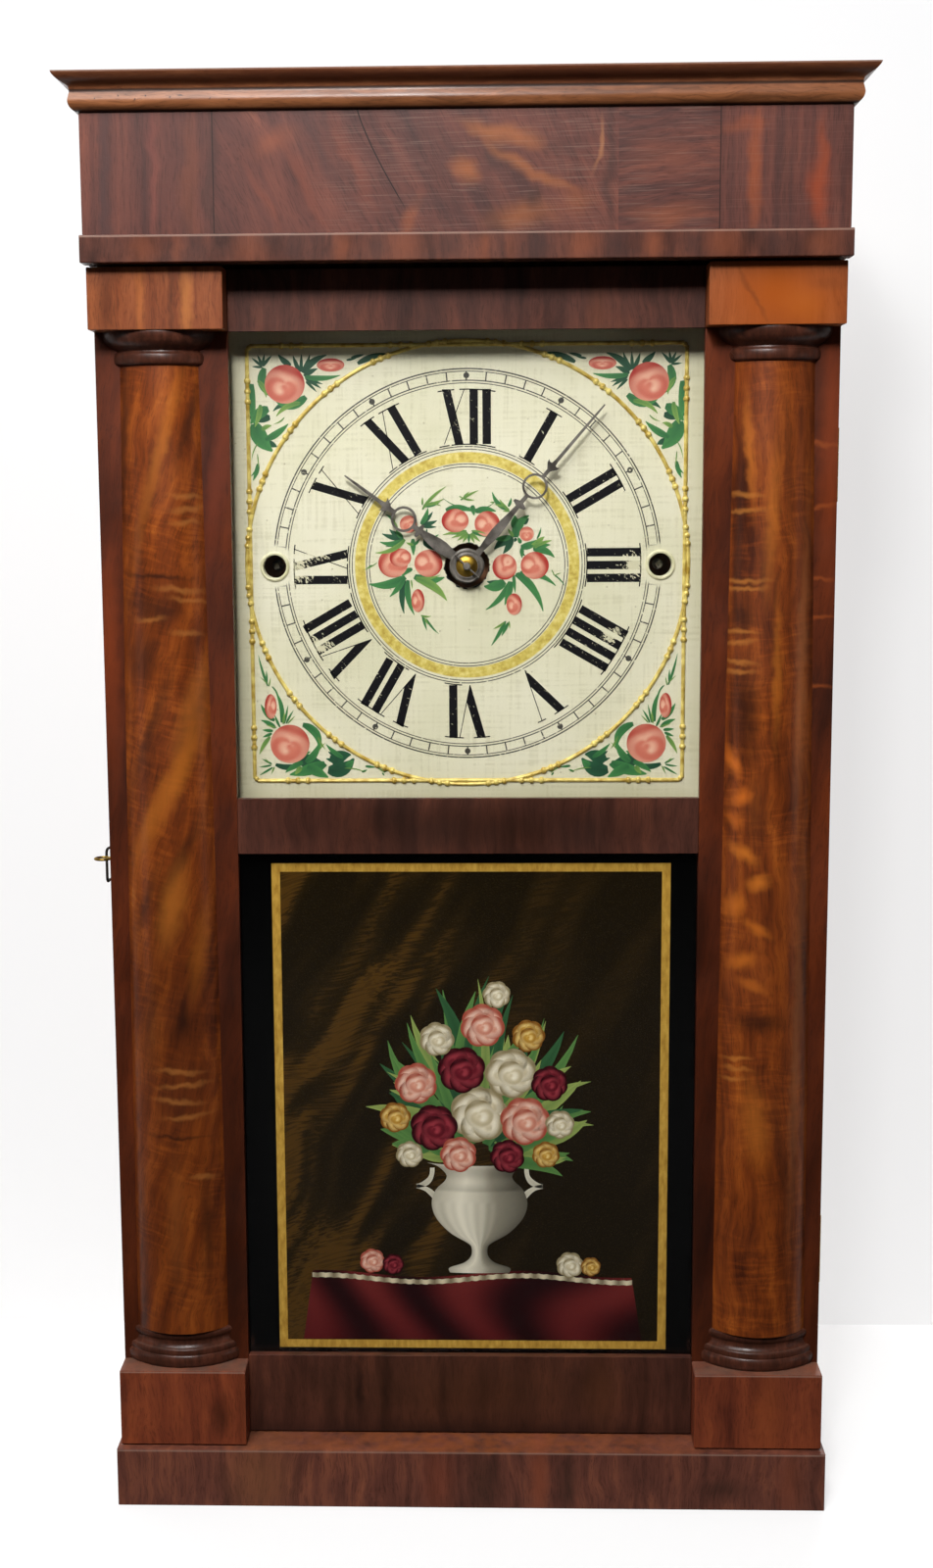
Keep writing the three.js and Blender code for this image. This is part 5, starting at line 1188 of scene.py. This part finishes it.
low, high = box_mm("latch_hook")
hook_x, hook_y, hook_z, tip_z = low.x + HOOK_WIRE, low.y + HOOK_WIRE, high.z - HOOK_WIRE, low.z + HOOK_WIRE
bent = rounded([(high.x, hook_y, hook_z), (hook_x, hook_y, hook_z), (hook_x, hook_y, tip_z),
                (hook_x, high.y, tip_z)], 3.2)
piece("bent_wire_hook", tube(bmesh.new(), bent, HOOK_WIRE), "hook", dark_wire, ["latch_hook"])

for name in ("time", "strike"):
    low, high = box_mm(f"{name}_weight")
    full, foot, top = (high.x - low.x) / 2, low.z, high.z
    shoulder = top - 13
    cast = [*smooth_line([(0, foot), (full - 2.4, foot), (full - 0.5, foot + 0.7), (full, foot + 2.4)],
                         3)[:-1],
            (full, foot + 2.4), (full, shoulder - 4),
            *smooth_line([(full - 0.3, shoulder - 2.6), (full - 2.6, shoulder - 0.4), (6, shoulder + 0.6),
                          (3.0, shoulder + 2.4), (2.5, shoulder + 4.4), (3.5, top - 4.4), (3.5, top - 2.4),
                          (2.4, top - 0.2)]), (0, top)]
    piece(f"cast_weight_{name}", turned(cast, ((low.x + high.x) / 2, (low.y + high.y) / 2, 0)),
          f"{name}_drive", iron, [f"{name}_weight"])
    # The line comes off its barrel as the weight falls, so it is drawn out between the two.
    low, high = box_mm(f"{name}_weight_cord")
    x, y = (low.x + high.x) / 2, (low.y + high.y) / 2
    foot, top = Vector((x, y, low.z)), Vector((x, y, high.z))
    line = [foot.lerp(top, k / LINE_STEPS) for k in range(LINE_STEPS + 1)]
    hung = piece(f"linen_line_{name}", tube(bmesh.new(), line, (high.x - low.x) / 2, 10), None, string,
                 [f"{name}_weight_cord"])
    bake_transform(hung)
    low, high = box_mm(f"{name}_barrel")
    full, drum, bore, rim = (high.x - low.x) / 2, 19, 3, 4
    x = (low.x + high.x) / 2
    # On the lathe's axis the height runs to the front.
    back, front = -high.y, -low.y
    spool = [(bore, back), (full - 0.6, back), (full, back + 0.6), (full, back + rim - 0.6),
             (full - 0.6, back + rim), (drum, back + rim + 1), (drum, front - rim - 1), (full - 0.6, front - rim),
             (full, front - rim + 0.6), (full, front - 0.6), (full - 0.6, front), (bore, front), (bore, back)]
    piece(f"turned_barrel_{name}", turned(spool, (x, 0, DIAL_Z), "y"), f"{name}_winding", cherry,
          [f"{name}_barrel"])

low, high = box_mm("pendulum_bob")
full, thick = (high.x - low.x) / 2, (high.y - low.y) / 2
# The bob's edge, in shares of its half width and half thickness.
lens = [(0, -1), (0.2, -0.975), (0.4, -0.9), (0.6, -0.77), (0.78, -0.58), (0.92, -0.36), (0.985, -0.2),
        (1, 0)]
lens = smooth_line([*lens, *((r, -a) for r, a in lens[-2::-1])], 3)
bob = turned([(r * full, a * thick) for r, a in lens],
             ((low.x + high.x) / 2, (low.y + high.y) / 2, (low.z + high.z) / 2), "y")
piece("brass_bob", bob, "pendulum", brass, ["pendulum_bob"])

# ------------------------------------------------------------------ room, lamps and camera
ROOM, WALL_Y = 4.0, 0.2     # half the width of the room, and the wall behind, in metres
EYE_WHITE = "#fafbfd"


def backdrop(name, lie, finish):
    """One flat square of the room, in metres. It is no part of the clock."""
    bm = bmesh.new()
    bmesh.ops.create_grid(bm, x_segments=1, y_segments=1, size=ROOM, matrix=lie)
    mesh = bpy.data.meshes.new(name)
    bm.to_mesh(mesh)
    bm.free()
    mesh.materials.append(finish)
    made = bpy.data.objects.new(name, mesh)
    bpy.context.scene.collection.objects.link(made)
    return made


# White paper: near white to the eye, with the shadows that fall on it. To other rays the room in front is
# dark. Past 1.3 m from the clock it has no shadow at all.
def paper(name, glow, shade, far_tone):
    finish, tree, place = new_finish(name)
    eye = node(tree, "LightPath").outputs["Is Camera Ray"]
    depth = node(tree, "SeparateXYZ", Vector=place).outputs["Y"]
    away = node(tree, "VectorMath", operation="LENGTH", Vector=place).outputs["Value"]
    near = share(tree, away, 0.7, 1.3, 1.0, 0.0)
    tone = share(tree, depth, -0.1, 0.1, 0.03, far_tone)
    lit = node(tree, "BsdfDiffuse", Color=node(tree, "CombineColor", Red=tone, Green=tone, Blue=tone))
    soft = node(tree, "AddShader")
    tree.links.new(node(tree, "BsdfDiffuse", Color=shade).outputs[0], soft.inputs[0])
    tree.links.new(node(tree, "Emission", Color="#fdfcfc", Strength=glow).outputs[0], soft.inputs[1])
    seen = node(tree, "MixShader", Fac=near)
    tree.links.new(node(tree, "Emission", Color=EYE_WHITE, Strength=0.97).outputs[0], seen.inputs[1])
    tree.links.new(soft.outputs[0], seen.inputs[2])
    mix = node(tree, "MixShader", Fac=eye)
    tree.links.new(lit.outputs[0], mix.inputs[1])
    tree.links.new(seen.outputs[0], mix.inputs[2])
    through = node(tree, "MixShader", Fac=node(tree, "NewGeometry").outputs["Backfacing"])
    tree.links.new(mix.outputs[0], through.inputs[1])
    tree.links.new(node(tree, "BsdfTransparent").outputs[0], through.inputs[2])
    node(tree, "OutputMaterial", Surface=through)
    return finish


backdrop("floor", Matrix(), paper("white_table", 0.62, "#a8a8a8", 0.8))
wall = backdrop("wall", Matrix.Translation((0, WALL_Y, ROOM - 0.1)) @ UPRIGHT,
                paper("white_wall", 0.72, "#8a8a8a", 0.8))
wall.visible_shadow = False

world = bpy.data.worlds.new("studio")
bpy.context.scene.world = world
world.use_nodes = True
air = world.node_tree
air.nodes.clear()
path = node(air, "LightPath")
looks = node(air, "SeparateXYZ", Vector=node(air, "TexCoord").outputs["Generated"])
behind = share(air, looks.outputs["Y"], -0.1, 0.5, 0.015, 0.9)
mirrored = node(air, "Mix", Factor=path.outputs["Is Glossy Ray"], A=0.05, B=behind)
strength = node(air, "Mix", Factor=path.outputs["Is Camera Ray"], A=mirrored, B=1.0)
node(air, "OutputWorld", Surface=node(air, "Background", Color=EYE_WHITE, Strength=strength))


def lamp(name, at, aim, size, power):
    """A soft lamp: its place, its aim, its width and height in metres, and its power in watts."""
    light = bpy.data.lights.new(name, "AREA")
    light.shape = "RECTANGLE"
    light.size, light.size_y = size
    light.energy = power
    made = bpy.data.objects.new(name, light)
    made.location = at
    made.rotation_euler = (Vector(aim) - Vector(at)).to_track_quat("-Z", "Y").to_euler()
    bpy.context.scene.collection.objects.link(made)


lamp("key", (-0.12, -1.1, 1.33), (0, 0, 0.5), (0.16, 0.24), 13.5)
lamp("high_left", (-0.45, -0.95, 1.6), (0, 0, 0.5), (0.7, 0.9), 20)
lamp("side_left", (-1.2, -0.55, 0.35), (-0.15, 0, 0.3), (0.3, 0.6), 0.6)
lamp("side_right", (1.2, -0.55, 0.35), (0.15, 0, 0.3), (0.3, 0.6), 0.6)
lamp("back", (0.3, 1.7, 1.3), (0, 0, 0.4), (0.8, 0.8), 30)

# The camera as it was solved from the edges of the case.
eye = bpy.data.cameras.new("photograph")
eye.lens, eye.sensor_width, eye.sensor_fit = 44.99, 36.0, "AUTO"
eye.shift_x, eye.shift_y = 0.0193, -0.0041
camera = bpy.data.objects.new("photograph", eye)
camera.location = (0.0137, -1.1051, 0.5739)
camera.rotation_euler = [math.radians(a) for a in (81.8, 0.345, 1.599)]
bpy.context.scene.collection.objects.link(camera)
bpy.context.scene.camera = camera
bpy.context.scene.view_settings.view_transform = "Standard"
